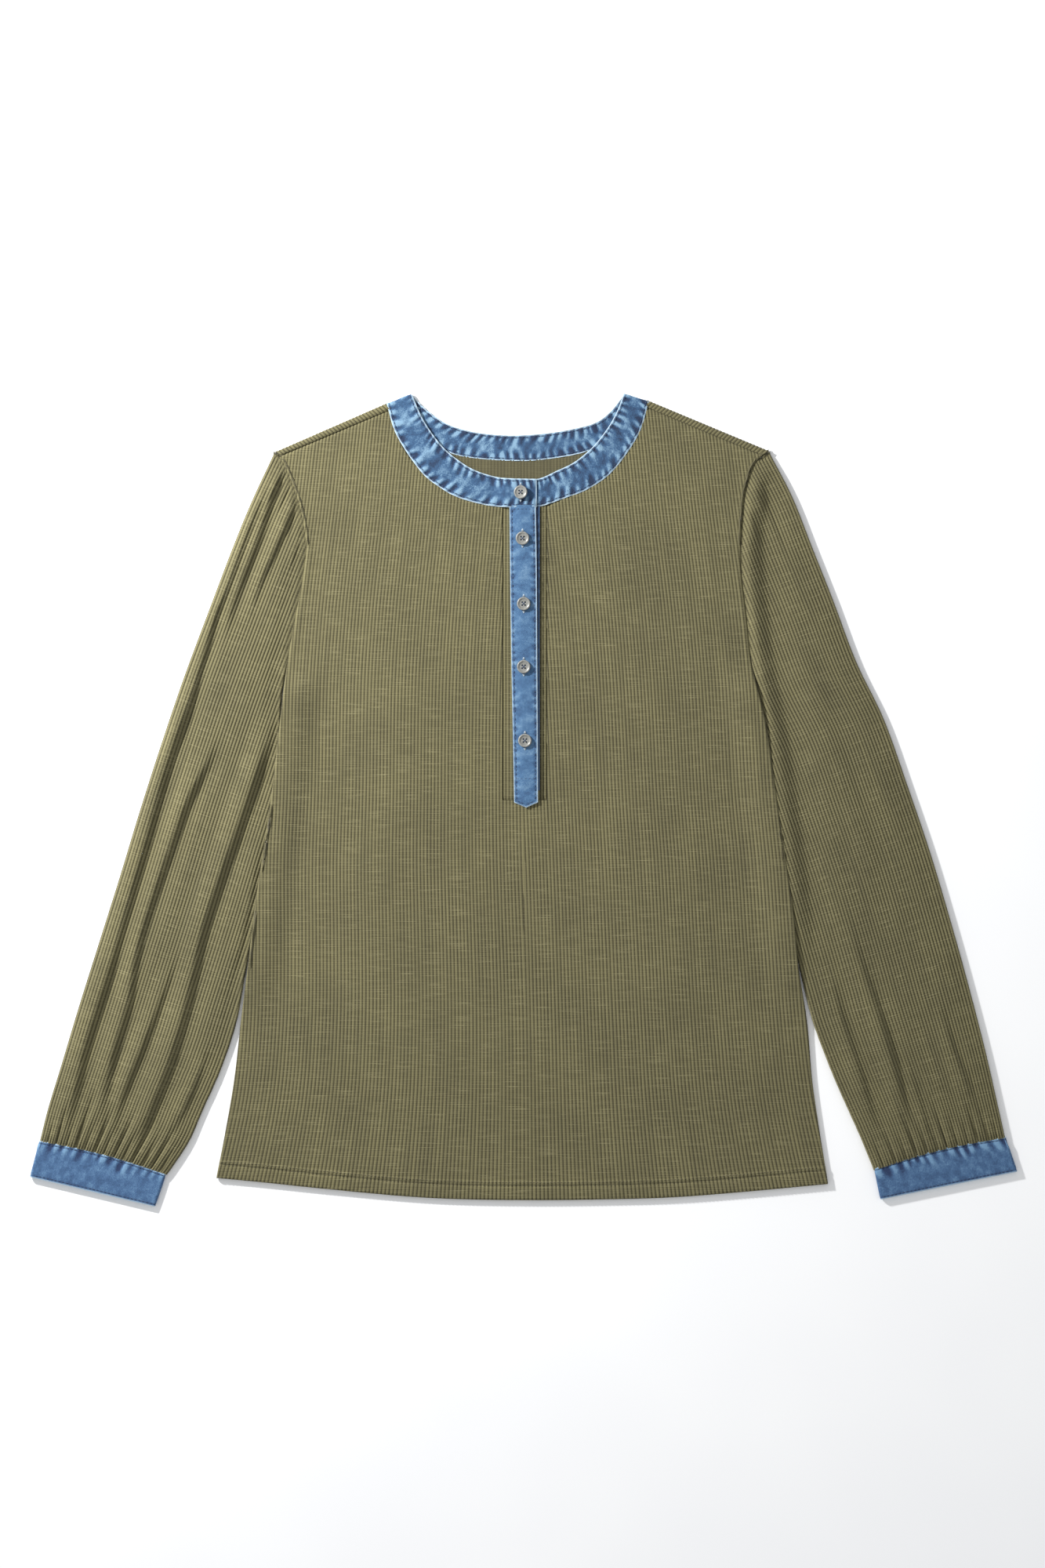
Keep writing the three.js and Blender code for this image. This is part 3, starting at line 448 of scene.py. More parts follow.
# %% The neckline
BAND_FRONT_LEFT = [  # seam x, seam y, free x, free y
    (-106, 308, -84, 320),
    (-86, 278, -69, 299),
    (-69, 264, -53, 285.5),
    (-54, 256, -40, 278),
    (-32, 250, -24, 273),
    (-12, 248, -12, 271.5),
    (11, 248, 11, 271),
]
BAND_FRONT_RIGHT = [
    (98, 314, 78, 327),
    (88, 296, 70, 313),
    (72, 276, 58, 298),
    (53, 263, 43, 285.5),
    (35, 256, 28, 278),
    (12, 248.5, 11, 271),
    (-11.5, 248, -11.5, 271),
]
BAND_BACK = [
    (-97, 315, -81, 329),
    (-79, 302, -65, 318),
    (-60, 293, -47, 312),
    (-40, 289, -28, 309),
    (-8, 287, -6, 308),
    (16, 288, 21, 310),
    (50, 294, 44, 314),
    (71, 304, 61, 319),
    (87, 318, 73, 328),
]
NECK_OVERLAP = 1.8  # how far each shoulder seam runs in under the neckband
BAND_FOLD_LEFT = (-114, 333, -93.5, 341)
BAND_FOLD_RIGHT = (104, 335, 83.5, 341)
SLIT = {"left": -18, "right": 20, "top": 248.4, "foot": 1}

front_neck_left = smooth_line(
    [-113.2] + [row[0] for row in BAND_FRONT_LEFT[:5]] + [SLIT["left"]],
    [328.2] + [row[1] for row in BAND_FRONT_LEFT[:5]] + [SLIT["top"]],
)
front_neck_right = smooth_line(
    [103.2] + [row[0] for row in BAND_FRONT_RIGHT[:5]] + [SLIT["right"]],
    [331] + [row[1] for row in BAND_FRONT_RIGHT[:5]] + [SLIT["top"]],
)
back_neck = smooth_line(
    [BAND_FOLD_LEFT[0]] + [row[0] for row in BAND_BACK] + [BAND_FOLD_RIGHT[0]],
    [BAND_FOLD_LEFT[1]] + [row[1] for row in BAND_BACK] + [BAND_FOLD_RIGHT[1]],
)


def front_top(x):
    """Where the front ends at the top: its shoulder seams, and the neckline between them."""
    left, right = SHOULDERS["left"], SHOULDERS["right"]
    at_neck = np.where(x < 0, front_neck_left(x), front_neck_right(x))
    at_neck = np.where((x > SLIT["left"]) & (x < SLIT["right"]), SLIT["top"], at_neck)
    on_left = shoulder_line("left", "seam", np.maximum(x, left["arm_x"]))
    on_right = shoulder_line("right", "seam", np.minimum(x, right["arm_x"]))
    top = np.where(x < left["neck_x"] + NECK_OVERLAP, on_left, at_neck)
    return np.where(x > right["neck_x"] - NECK_OVERLAP, on_right, top)


# %% [markdown]
# Folds and creases are lines on the drawing with a width and a height. A ridge is a soft bump
# along its line, and a hollow is a ridge with a height below zero. A slope is a step from a
# crest on the left to a hollow on the right, which is what a fold lit from the left looks like:
# its line is where the photograph is darkest. It rises slowly to its crest, drops steeply
# behind it, so that the drop lies in its own shade, and comes back from a shallow hollow. Every
# fold fades towards its two ends.

# %% Folds
FOLD_STEPS = 24
FADE_SHARE = 0.4
FADE_LENGTH = 80
SLOPE_START, SLOPE_CREST, SLOPE_FOOT, SLOPE_END = -3.2, -0.75, 0.5, 2.6
SLOPE_SINK = 0.3


def nearest_on(line, x, y):
    """How far points are from a line, on which side of it, and how far along it."""
    start, step = line[:-1], np.diff(line, axis=0)
    off_x, off_y = x[..., None] - start[:, 0], y[..., None] - start[:, 1]
    share = (off_x * step[:, 0] + off_y * step[:, 1]) / (step**2).sum(1)
    share = np.clip(share, 0, 1)
    distance = np.hypot(off_x - share * step[:, 0], off_y - share * step[:, 1])
    best = distance.argmin(-1)[..., None]
    side = np.sign(step[:, 0] * off_y - step[:, 1] * off_x)
    pick = [np.take_along_axis(a, best, -1)[..., 0] for a in (distance, side, share)]
    return pick[0], pick[1], (best[..., 0] + pick[2]) / len(step)


def relief(folds, x, y):
    """Height that a set of folds adds."""
    height = np.zeros(np.shape(x))
    for form, width, rise, points in folds:
        line = smooth_path(points, np.linspace(0, len(points) - 1, FOLD_STEPS + 1))
        distance, side, along = nearest_on(line, x, y)
        length = np.hypot(*np.diff(line, axis=0).T).sum()
        ending = min(FADE_SHARE, FADE_LENGTH / length)
        fade = smoothstep(along, 0, ending) * smoothstep(1 - along, 0, ending)
        away = distance / width
        if form == "slope":
            place = side * away
            rising = smoothstep(place, SLOPE_START, SLOPE_CREST)
            falling = smoothstep(place, SLOPE_CREST, SLOPE_FOOT)
            sunk = SLOPE_SINK * falling * (1 - smoothstep(place, SLOPE_FOOT, SLOPE_END))
            height += rise * fade * ((1 - SLOPE_SINK) * rising * (1 - falling) - sunk)
        else:
            height += rise * fade * np.exp(-(away**2))
    return height


# %% [markdown]
# A sheet of cloth starts as a grid of points on its outer face. The grid follows the ribs, so a
# seam that cuts across them is made by pushing points back to the seam's line: points that then
# fall on each other are joined, and cells that have no area left are dropped. Solidify gives the
# sheet its thickness, towards its inner face, and the result is kept as plain mesh.

# %% Sheets from grids
WELD = 5  # points are joined when they agree to this many decimals of a metre
KNIT_WALL = 1.2


def smooth_object(name, mesh, sharp=60):
    """Puts a mesh in the scene as a piece that rides on the one body."""
    mesh.polygons.foreach_set("use_smooth", np.ones(len(mesh.polygons), bool))
    mesh.set_sharp_from_angle(angle=math.radians(sharp))
    piece = bpy.data.objects.new(name, mesh)
    scene.collection.objects.link(piece)
    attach(piece, "root")
    return piece


def lay_on_floor(mesh):
    """Lifts the few points that the cloth's thickness puts below the floor."""
    places = np.empty(3 * len(mesh.vertices))
    mesh.vertices.foreach_get("co", places)
    places[2::3] = np.maximum(places[2::3], 0)
    mesh.vertices.foreach_set("co", places)
    mesh.update()


def grid_mesh(name, points, outward, uv, values=None):
    """A mesh of the grid's cells. outward is the way that its face looks, at each point."""
    rows, columns = points.shape[:2]
    flat = in_frame(points)
    _, first, joined = np.unique(
        np.round(flat, WELD), axis=0, return_index=True, return_inverse=True
    )
    joined = joined.ravel()
    number = np.arange(rows * columns).reshape(rows, columns)
    cells = np.stack([number[:-1, :-1], number[1:, :-1], number[1:, 1:], number[:-1, 1:]], -1)
    cells = cells.reshape(-1, 4)
    corners = flat[cells]
    facing = np.cross(corners[:, 2] - corners[:, 0], corners[:, 3] - corners[:, 1])
    if (facing * outward.reshape(-1, 3)[cells[:, 0]]).sum() < 0:
        cells = cells[:, ::-1]
    faces, sources = [], []
    for cell in cells:
        welded = joined[cell]
        kept = [k for k in range(4) if welded[k] != welded[k - 1]]
        if len(kept) > 2 and len(set(welded[kept])) == len(kept):
            faces.append(welded[kept].tolist())
            sources.extend(cell[kept])
    mesh = bpy.data.meshes.new(name)
    mesh.from_pydata(flat[first].tolist(), [], faces)
    layer = mesh.uv_layers.new(name="cloth")
    layer.data.foreach_set("uv", uv.reshape(-1, 2)[sources].astype(np.float32).ravel())
    for key, value in (values or {}).items():
        attribute = mesh.attributes.new(key, "FLOAT", "POINT")
        attribute.data.foreach_set("value", value.ravel()[first].astype(np.float32))
    return mesh


def built_mesh(thing):
    """An object's mesh with its modifiers built in."""
    depsgraph = bpy.context.evaluated_depsgraph_get()
    return bpy.data.meshes.new_from_object(thing.evaluated_get(depsgraph))


def thicken(mesh, wall, outside, inside):
    """The mesh as a thin shell: its face stays where it is, and the wall is behind it."""
    mesh.materials.append(outside)
    mesh.materials.append(inside)
    sheet = bpy.data.objects.new("sheet", mesh)
    scene.collection.objects.link(sheet)
    solidify = sheet.modifiers.new("wall", "SOLIDIFY")
    solidify.thickness = wall * MILLIMETRE
    solidify.offset = -1
    solidify.material_offset = 1
    shell = built_mesh(sheet)
    bpy.data.objects.remove(sheet)
    bpy.data.meshes.remove(mesh)
    return shell


def knit_piece(name, points, facing, ribs, down):
    """A piece of rib knit from the grid of its outer face."""
    mesh = grid_mesh(name, points, facing, np.stack([ribs, down], -1))
    mesh = thicken(mesh, KNIT_WALL, olive_knit, olive_inside)
    return smooth_object(name, mesh)


def denim_piece(name, points, facing, along, across, edge, proud, wall, denim):
    """A piece of denim from the grid of its outer face."""
    values = {"edge": edge, "proud": proud}
    mesh = grid_mesh(name, points, facing, np.stack([along, across], -1), values)
    return smooth_object(name, thicken(mesh, wall, denim, denim))


def report(piece):
    """Prints what a piece came to."""
    piece.data.calc_loop_triangles()
    print(piece.name, len(piece.data.loop_triangles), "triangles")


# %% [markdown]
# The ribs of the real knit are about 2.4 mm apart at the chest, 2.7 mm at the hem, and here they
# are drawn 1.18 times as far apart, so that the picture can show each one. They don't run quite
# straight: they lean in towards the placket above, and spread with the sides towards the hem.
# Three columns of the mesh make a rib: one in the groove, and two on the shoulders of the rib.

# %% Where the ribs of the body run
COARSER = 1.18
RIB_SAMPLES = 3
RIB_DEPTH = 0.48
rib_spacing = smooth_line(
    [-345, -296, -249, -183, -117, -51, 1, 107, 252, 345],
    [COARSER * s for s in (2.88, 2.74, 2.63, 2.55, 2.51, 2.48, 2.44, 2.42, 2.36, 2.31)],
)
LEAN_HEIGHTS = [-340, -200, 0, 60, 110, 160, 252, 345]
lean_left = smooth_line(LEAN_HEIGHTS, [7.4, 6, 0, 0, 1, 3.5, 11.5, 18.4])
lean_right = smooth_line(LEAN_HEIGHTS, [7.4, 6, 0, -2.4, -5, -8.5, -17.5, -25])


def groove_depth(ribs):
    """1 in the middle of a groove, 0 on the rib."""
    return 1 - np.clip(np.abs(ribs - np.round(ribs)) * RIB_SAMPLES, 0, 1)


# %% [markdown]
# Where the sleeves lie under the body, its sides are lifted over them, though the highest fold
# of the right sleeve still reaches into the back there. The side of the body is a soft roll
# with the side seam under it, and at the armhole the edge dips into the seam.

# %% Heights of the body
FRONT_HEIGHT = 3.4
SIDE_RADIUS = FRONT_HEIGHT / 2
RIDE_HEIGHT = 4.6
ROLL_INSETS = (1.25, 0.8, 0.42, 0.14, 0)


def ride_lift(x, y):
    """How far the side of the body is lifted where it lies over a sleeve."""
    inset = side_inset(x, y)
    along = (1 - smoothstep(y, 88, 118)) * smoothstep(y, -200, -135)
    return RIDE_HEIGHT * along * (1 - smoothstep(inset, 8, 36))


def edge_drop(inset, y):
    """How far the face drops at its sides: a roll below the underarm, a seam above it."""
    near = np.clip(SIDE_RADIUS - inset, 0, SIDE_RADIUS)
    roll = SIDE_RADIUS - np.sqrt(SIDE_RADIUS**2 - near**2)
    seam = 0.5 * (1 - smoothstep(inset, 0, 1.2)) - 0.6 * np.exp(-(((inset - 3.2) / 2.2) ** 2))
    return mix(roll, seam, smoothstep(y, 104, 122))


def rib_relief(ribs, inset):
    """Depth of the grooves, which fade where a seam has pressed the cloth flat."""
    return RIB_DEPTH * groove_depth(ribs) * smoothstep(inset, SIDE_RADIUS, 2.6 * SIDE_RADIUS)


# %% The columns and rows of a body panel
SEAM_STEPS = [3.4, 1.9, 1.1, 0.5, 0]
HEM_STEPS = [0, 0.4, 1, 2.4, 5.5, 9, 10.9, 11.5, 12, 12.5, 13.2, 14.4, 15.2, 15.7, 16.3, 17.5]
MOST_RIBS = 86
RIB_NUMBERS = np.arange(-MOST_RIBS * RIB_SAMPLES, MOST_RIBS * RIB_SAMPLES + 1) / RIB_SAMPLES


def panel_grid(top_of, leans, zones):
    """Points of a body panel on the drawing: x, y and rib number, a row for each height."""
    ribs = RIB_NUMBERS

    def across(y):
        lean = np.where(ribs < 0, leans[0](y), leans[1](y))
        return lean + ribs * rib_spacing(y)

    def kept(x, y, inset):
        return np.clip(x, left_side(y) + inset, right_side(y) - inset)

    top = np.full(len(ribs), 300.0)
    for _ in range(12):
        top = top_of(kept(across(top), top, 0))
    hem = hem_edge(across(np.full(len(ribs), -330.0)))
    heights = [hem + step for step in HEM_STEPS]
    bounds = [hem + HEM_STEPS[-1], *[np.full(len(ribs), y) for y in (SLIT["foot"], UNDERARM, 212)]]
    bounds.append(top - SEAM_STEPS[0])
    for (start, end), count in zip(zip(bounds, bounds[1:]), zones):
        heights += [mix(start, end, (i + 1) / count) for i in range(count)]
    heights += [top - step for step in SEAM_STEPS[1:]]
    y = np.array(heights)
    lean = np.where(ribs < 0, leans[0](y), leans[1](y))
    x = kept(lean + ribs * rib_spacing(y), y, SIDE_RADIUS)
    left_y, right_y = y[:, :1], y[:, -1:]
    left = [left_side(left_y) + inset for inset in ROLL_INSETS[::-1]]
    right = [right_side(right_y) - inset for inset in ROLL_INSETS]
    x = np.hstack([*left, x, *right])
    y = np.hstack([*[left_y] * len(left), y, *[right_y] * len(right)])
    lean = np.where(x < 0, leans[0](y), leans[1](y))
    return x, y, (x - lean) / rib_spacing(y)


# %% [markdown]
# The front is one panel. The slit for the placket is cut as a tailor would, with three straight
# cuts through the finished sheet, after which the piece between them is taken out.

# %% Front
FRONT_FOLDS = [  # form, half width, height, line
    ("ridge", 9, 0.9, [(2, -8), (3, -35), (1, -72)]),
    ("ridge", 26, 1.0, [(-120, 120), (-110, 0), (-140, -160)]),
    ("ridge", 30, 1.1, [(90, 60), (120, -80), (110, -220)]),
    ("ridge", 16, 0.7, [(40, 220), (90, 190), (150, 180)]),
]
HEM_RISE = 0.8
HEM_STITCH = 12
HEM_FOLD = 15.7


def front_height(x, y):
    """Height of the front's face, without its ribs."""
    inset = side_inset(x, y)
    beside_slit = smoothstep(np.abs(x), 20, 34)
    folds = relief(FRONT_FOLDS, x, y) * np.where(y < -5, 1, beside_slit)
    folds = np.maximum(folds, -0.2) * smoothstep(inset, 0, 14)
    up = y - hem_edge(x)
    hem = HEM_RISE * (1 - smoothstep(up, HEM_FOLD - 0.5, HEM_FOLD + 0.3))
    hem -= 0.7 * np.exp(-(((up - HEM_STITCH) / 0.8) ** 2))
    hem -= 0.9 * (1 - smoothstep(up, 0, 1.2))
    seam = 0.9 * (1 - smoothstep(front_top(x) - y, 0, 1.8))
    return FRONT_HEIGHT + ride_lift(x, y) + folds + hem - seam - edge_drop(inset, y)


UP = np.array([0.0, 0, 1])
DOWN = -UP


def cut_slit(mesh):
    """Cuts the placket's slit out of the front."""
    form = bmesh.new()
    form.from_mesh(mesh)
    slit_corners = [(SLIT["left"], SLIT["foot"], 0), (SLIT["right"], SLIT["top"], 0)]
    corner, far_corner = in_frame(slit_corners)
    for place, across in ((corner, (1, 0, 0)), (far_corner, (1, 0, 0)), (corner, (0, 1, 0))):
        everything = form.verts[:] + form.edges[:] + form.faces[:]
        bmesh.ops.bisect_plane(form, geom=everything, dist=1e-7, plane_co=place, plane_no=across)
    inside = []
    for face in form.faces:
        x, y, _ = face.calc_center_median()
        if corner[0] < x < far_corner[0] and y > corner[1]:
            inside.append(face)
    bmesh.ops.delete(form, geom=inside, context="FACES")
    form.to_mesh(mesh)
    form.free()


def make_front():
    """The front panel."""
    x, y, ribs = panel_grid(front_top, (lean_left, lean_right), zones=(42, 15, 13, 13))
    inset = side_inset(x, y)
    z = front_height(x, y) - rib_relief(ribs, inset)
    points = np.stack([x, y, z], -1)
    mesh = grid_mesh("front_knit", points, np.broadcast_to(UP, points.shape), np.stack([ribs, y], -1))
    cut_slit(mesh)
    return smooth_object("front_knit", thicken(mesh, KNIT_WALL, olive_knit, olive_inside))


front = make_front()
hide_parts("front")
report(front)

# %% [markdown]
# The back lies face down, so its outer face is underneath and flat where it rests. At each
# shoulder it turns over the top and comes forward to the seam. Cloth folded over a slanting
# line carries its ribs with it as a mirror would, which is why they run aslant on that strip.

# %% Back
BEND_ANGLES = np.radians([18, 36, 54, 72, 90, 108, 126, 144, 162, 180])
STRIP_STEPS = 5
STRIP_UNDER_BAND = 1.5


def fold_top(x):
    """Where the back's flat part ends: the fold of each shoulder, and the back neckline."""
    left, right = SHOULDERS["left"], SHOULDERS["right"]
    on_left = shoulder_line("left", "fold", np.maximum(x, left["arm_x"])) - SIDE_RADIUS
    on_right = shoulder_line("right", "fold", np.minimum(x, right["arm_x"])) - SIDE_RADIUS
    top = np.where(x < left["neck_x"] + 1, on_left, back_neck(x))
    return np.where(x > right["neck_x"] - 1, on_right, top)


def over_shoulder(x, side):
    """Carries the top row of the back over one shoulder, to its forward seam."""
    row = SHOULDERS[side]
    sign = -1 if side == "left" else 1
    along = np.array([row["arm_x"] - row["neck_x"], row["arm_fold"] - row["neck_fold"]], float)
    along *= sign / np.hypot(*along)
    out = np.array([-along[1], along[0]])
    slip = along[1] / out[1]
    ends = sorted([row["arm_x"], row["neck_x"] - sign * STRIP_UNDER_BAND])
    inside = np.clip(x, *ends)
    width = (shoulder_line(side, "fold", inside) - shoulder_line(side, "seam", inside)) * out[1]
    width = np.maximum(width - SIDE_RADIUS - 0.2, 0.4)
    steps = []
    for angle in BEND_ANGLES:
        facing = (out[0] * math.sin(angle), out[1] * math.sin(angle), -math.cos(angle))
        height = SIDE_RADIUS * (1 - math.cos(angle))
        steps.append((SIDE_RADIUS * math.sin(angle), SIDE_RADIUS * angle, height, facing))
    for i in range(1, STRIP_STEPS + 1):
        back = width * i / STRIP_STEPS
        dip = 0.9 * (i == STRIP_STEPS) + 0.2 * (i == STRIP_STEPS - 1)
        steps.append((-back, SIDE_RADIUS * math.pi + back, 2 * SIDE_RADIUS - dip + 0.35, UP))
    rows, normals = [], []
    for lift, travelled, height, facing in steps:
        shift_x = out[0] * lift + along[0] * slip * travelled
        shift_y = out[1] * lift + along[1] * slip * travelled
        place = np.clip(x + shift_x, *ends)
        for _ in range(3):
            y = shoulder_line(side, "fold", place - shift_x) - SIDE_RADIUS + shift_y
            lower, upper = np.maximum(left_side(y), ends[0]), np.minimum(right_side(y), ends[1])
            place = np.clip(x + shift_x, lower, upper)
        rows.append(np.stack([place, y, np.full(len(x), float(height))], -1))
        normals.append(facing)
    return rows, normals


def make_back():
    """The back panel."""
    straight = smooth_line([-345, 345], [0, 0])
    x, y, ribs = panel_grid(fold_top, (straight, straight), zones=(38, 14, 12, 12))
    inset = side_inset(x, y)
    up = y - hem_edge(x)
    hem = 0.45 * np.exp(-(((up - HEM_STITCH) / 0.6) ** 2))
    z = ride_lift(x, y) + np.maximum(edge_drop(inset, y), 0) + hem
    points = [np.stack([x, y, z], -1)]
    facing = [np.broadcast_to(DOWN, points[0].shape)]
    counts = [ribs]
    down = [y]
    left, right = SHOULDERS["left"], SHOULDERS["right"]
    top_x, top_y = x[-1], y[-1]
    panel = slice(len(ROLL_INSETS), -len(ROLL_INSETS))
    open_x = top_x.copy()  # the top row, before its ends were pushed to the armholes
    open_x[panel] = RIB_NUMBERS * rib_spacing(top_y[panel])
    is_left = open_x < left["neck_x"] + 1
    is_right = open_x > right["neck_x"] - 1
    strips = {side: over_shoulder(open_x, side) for side in ("left", "right")}
    for i in range(len(BEND_ANGLES) + STRIP_STEPS):
        row = np.stack([top_x, top_y, z[-1]], -1)
        normal = np.broadcast_to(DOWN, row.shape).copy()
        for side, here in (("left", is_left), ("right", is_right)):
            row[here] = strips[side][0][i][here]
            normal[here] = strips[side][1][i]
        points.append(row[None])
        facing.append(normal[None])
        counts.append((open_x / rib_spacing(top_y))[None])
        down.append((top_y + 2 * (i + 1))[None])
    points, facing = np.vstack(points), np.vstack(facing)
    ribs, down = np.vstack(counts), np.vstack(down)
    points = points - facing * RIB_DEPTH * groove_depth(ribs)[..., None]
    mesh = grid_mesh("back_knit", points, facing, np.stack([ribs, down], -1))
    mesh = thicken(mesh, KNIT_WALL, olive_knit, olive_inside)
    lay_on_floor(mesh)
    return smooth_object("back_knit", mesh)


back = make_back()
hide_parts("back")
report(back)

# %% [markdown]
# A sleeve is a flattened tube. Its ribs run along it at an even distance, so near the shoulder
# they are cut off by the armhole, and along the inner edge by the seam of the sleeve. Lines
# across the sleeve start on its outer edge, and each ends where it meets the armhole or the
# inner edge. Towards the cuff the lines draw the ribs together, as the gathers do.

# %% Sleeve outlines
SLEEVES = {  # outer x, outer y, inner y, how far the inner edge lies under the side of the body
    "left": [
        (-209.4, 294, 115, -0.3), (-229, 252, 86, -1), (-245, 213, 58, 1), (-264, 163, 24, 5),
        (-286, 104, -18, 7), (-305, 48, -60, 6), (-323, -8, -100, 2), (-340, -64, -146, -1.6),
        (-357, -118, -188, -4), (-374, -172, -228, -13), (-389, -222, -259, -22),
        (-400, -258, -289, -30), (-407, -286, -314, -42),
    ],
    "right": [
        (206.4, 294, 115, -0.3), (226, 256, 88, 0.4), (243, 213, 58, 2), (260, 170, 24, 5),
        (280, 117, -20, 7), (303, 69, -62, 6), (323, 13, -104, 3), (342, -43, -146, -1.6),
        (359, -100, -180, -4), (373, -150, -215, -13), (388, -208, -250, -24),
        (399, -256, -284, -34), (405, -283, -309, -40),
    ],
}
SLEEVE_HEIGHT = 4.2
SLEEVE_RADIUS = SLEEVE_HEIGHT / 2
SEAM_TOP = {"left": 2.9, "right": 3.6}
SEAM_REACH = {"left": 5, "right": 3}
CROWN_STARTS = {"left": (3, 18), "right": (22, 45)}
SLEEVE_ROWS = 135
RIB_ANGLES = {"left": [22, 19, 17.5, 15.5, 14.7], "right": [21, 18.5, 18, 16.5, 13.9]}
SLEEVE_RIB = 2.3 * COARSER
SLEEVE_RIB_DEPTH = 0.62
CUFF_BOW = 3

# %% [markdown]
# The long folds of a sleeve lie where the photograph shows them. The short ones at its head, and
# the gathers at its cuff, have the right look and number, but not each its own place.

# %% Sleeve folds and gathers
SLEEVE_FOLDS = {
    "left": [
        ("slope", 4.6, 3.9, [(-208, 280), (-221, 250), (-234, 217), (-247, 181), (-258, 153), (-280, 79),
                             (-296, 34)]),
        ("slope", 7, 5.6, [(-268, 118), (-280, 79), (-296, 34), (-315, -34), (-337, -113), (-348, -149),
                           (-357, -177), (-367, -210), (-378, -258), (-393, -290)]),
        ("slope", 7, 5.4, [(-201, 84), (-214, 46), (-225, 13), (-240, -30), (-251, -60), (-266, -104),
                           (-278, -159), (-292, -210), (-304, -243), (-319, -278), (-330, -300)]),
        ("slope", 6, 4.7, [(-256, 60), (-263, 34), (-280, 1), (-295, -40), (-313, -91), (-324, -131),
                           (-330, -170), (-342, -210), (-350, -248), (-357, -292)]),
        ("slope", 5.5, 4.4, [(-198, 282), (-205, 268), (-225, 212), (-243, 164), (-252, 130)]),
        ("slope", 4.2, 3.0, [(-188, 262), (-193, 248), (-205, 217), (-221, 181), (-230, 150)]),
        ("slope", 5, 3.8, [(-284, -110), (-297, -150), (-320, -210), (-331, -236), (-340, -263),
                           (-345, -296)]),
        ("slope", 4.5, 1.8, [(-217, -20), (-226, -70), (-236, -120), (-252, -170)]),
        ("slope", 4, 2.2, [(-262, -200), (-278, -245), (-300, -290)]),
        ("slope", 2.4, 1.3, [(-200.6, 280.5), (-216.5, 245.5)]),
        ("slope", 2.2, 1.3, [(-195.4, 270.6), (-208.6, 236.3)]),
        ("slope", 2.4, 1.2, [(-190.7, 252), (-202, 216.5)]),
        ("slope", 2.2, 1.0, [(-187.5, 226), (-196.5, 190)]),
        ("ridge", 16, 0.8, [(-214, 160), (-240, 90), (-262, 10)]),
    ],
    "right": [
        ("slope", 6, 4.0, [(272, -90), (285, -134), (302, -183), (315, -230), (325, -269), (331, -300)]),
        ("slope", 6, 3.4, [(258, -140), (269, -180), (288, -240), (302, -296)]),
        ("slope", 5, 3.0, [(349, -160), (361, -203), (374, -236), (386, -278)]),
        ("slope", 4.5, 2.2, [(318, -200), (335, -256), (345, -296)]),
        ("slope", 4, 1.2, [(196, 284), (203, 256), (215, 222), (226, 196)]),
        ("slope", 11, 4.4, [(208, 296), (202, 262), (198, 212), (202, 160), (207, 115), (218, 60),
                       (230, -25), (238, -91), (243, -150)]),
        ("ridge", 24, 0.7, [(246, 160), (276, 60), (316, -100)]),
        ("slope", 10, 1.1, [(236, 150), (262, 60), (290, -30), (310, -90)]),
        ("slope", 2.2, 0.9, [(193, 270), (205, 238)]),
        ("slope", 2.2, 0.8, [(189, 250), (199, 214)]),
        ("slope", 5, 0.9, [(284, -150), (312, -215), (322, -260)]),
    ],
}
GATHERS = {  # share of the width from the outer edge, length, depth
    "left": [
        (0.06, 24, 1.6), (0.13, 48, 2.7), (0.21, 22, 1.5), (0.28, 70, 3.1), (0.35, 26, 1.8),
        (0.43, 52, 2.8), (0.50, 24, 1.9), (0.58, 60, 2.9), (0.65, 30, 1.9), (0.72, 58, 2.8),
        (0.80, 34, 2.2), (0.87, 56, 2.6), (0.94, 28, 1.8),
    ],
    "right": [
        (0.06, 22, 1.5), (0.13, 36, 2.0), (0.21, 48, 2.4), (0.28, 24, 1.6), (0.36, 32, 1.9),
        (0.44, 60, 2.6), (0.51, 26, 1.7), (0.59, 44, 2.2), (0.67, 66, 2.7), (0.75, 28, 1.8),
        (0.83, 50, 2.4), (0.92, 30, 1.8),
    ],
}
SLEEVE_PUFF = 0.9


def gathered(gathers, share, width, from_end):
    """Narrow hollows that start at a seam, widen and fade away from it, with puffs between."""
    height = np.zeros(np.broadcast(share, from_end).shape)
    for place, length, depth in gathers:
        fade = 1 - smoothstep(from_end, 0.1 * length, length)
        half = 1.2 + 0.05 * from_end
        off = (share - place) * width / half
        height -= depth * fade * np.exp(-(off**2))
        height += 0.4 * depth * fade * np.exp(-((off / 2.4) ** 2))
    return height


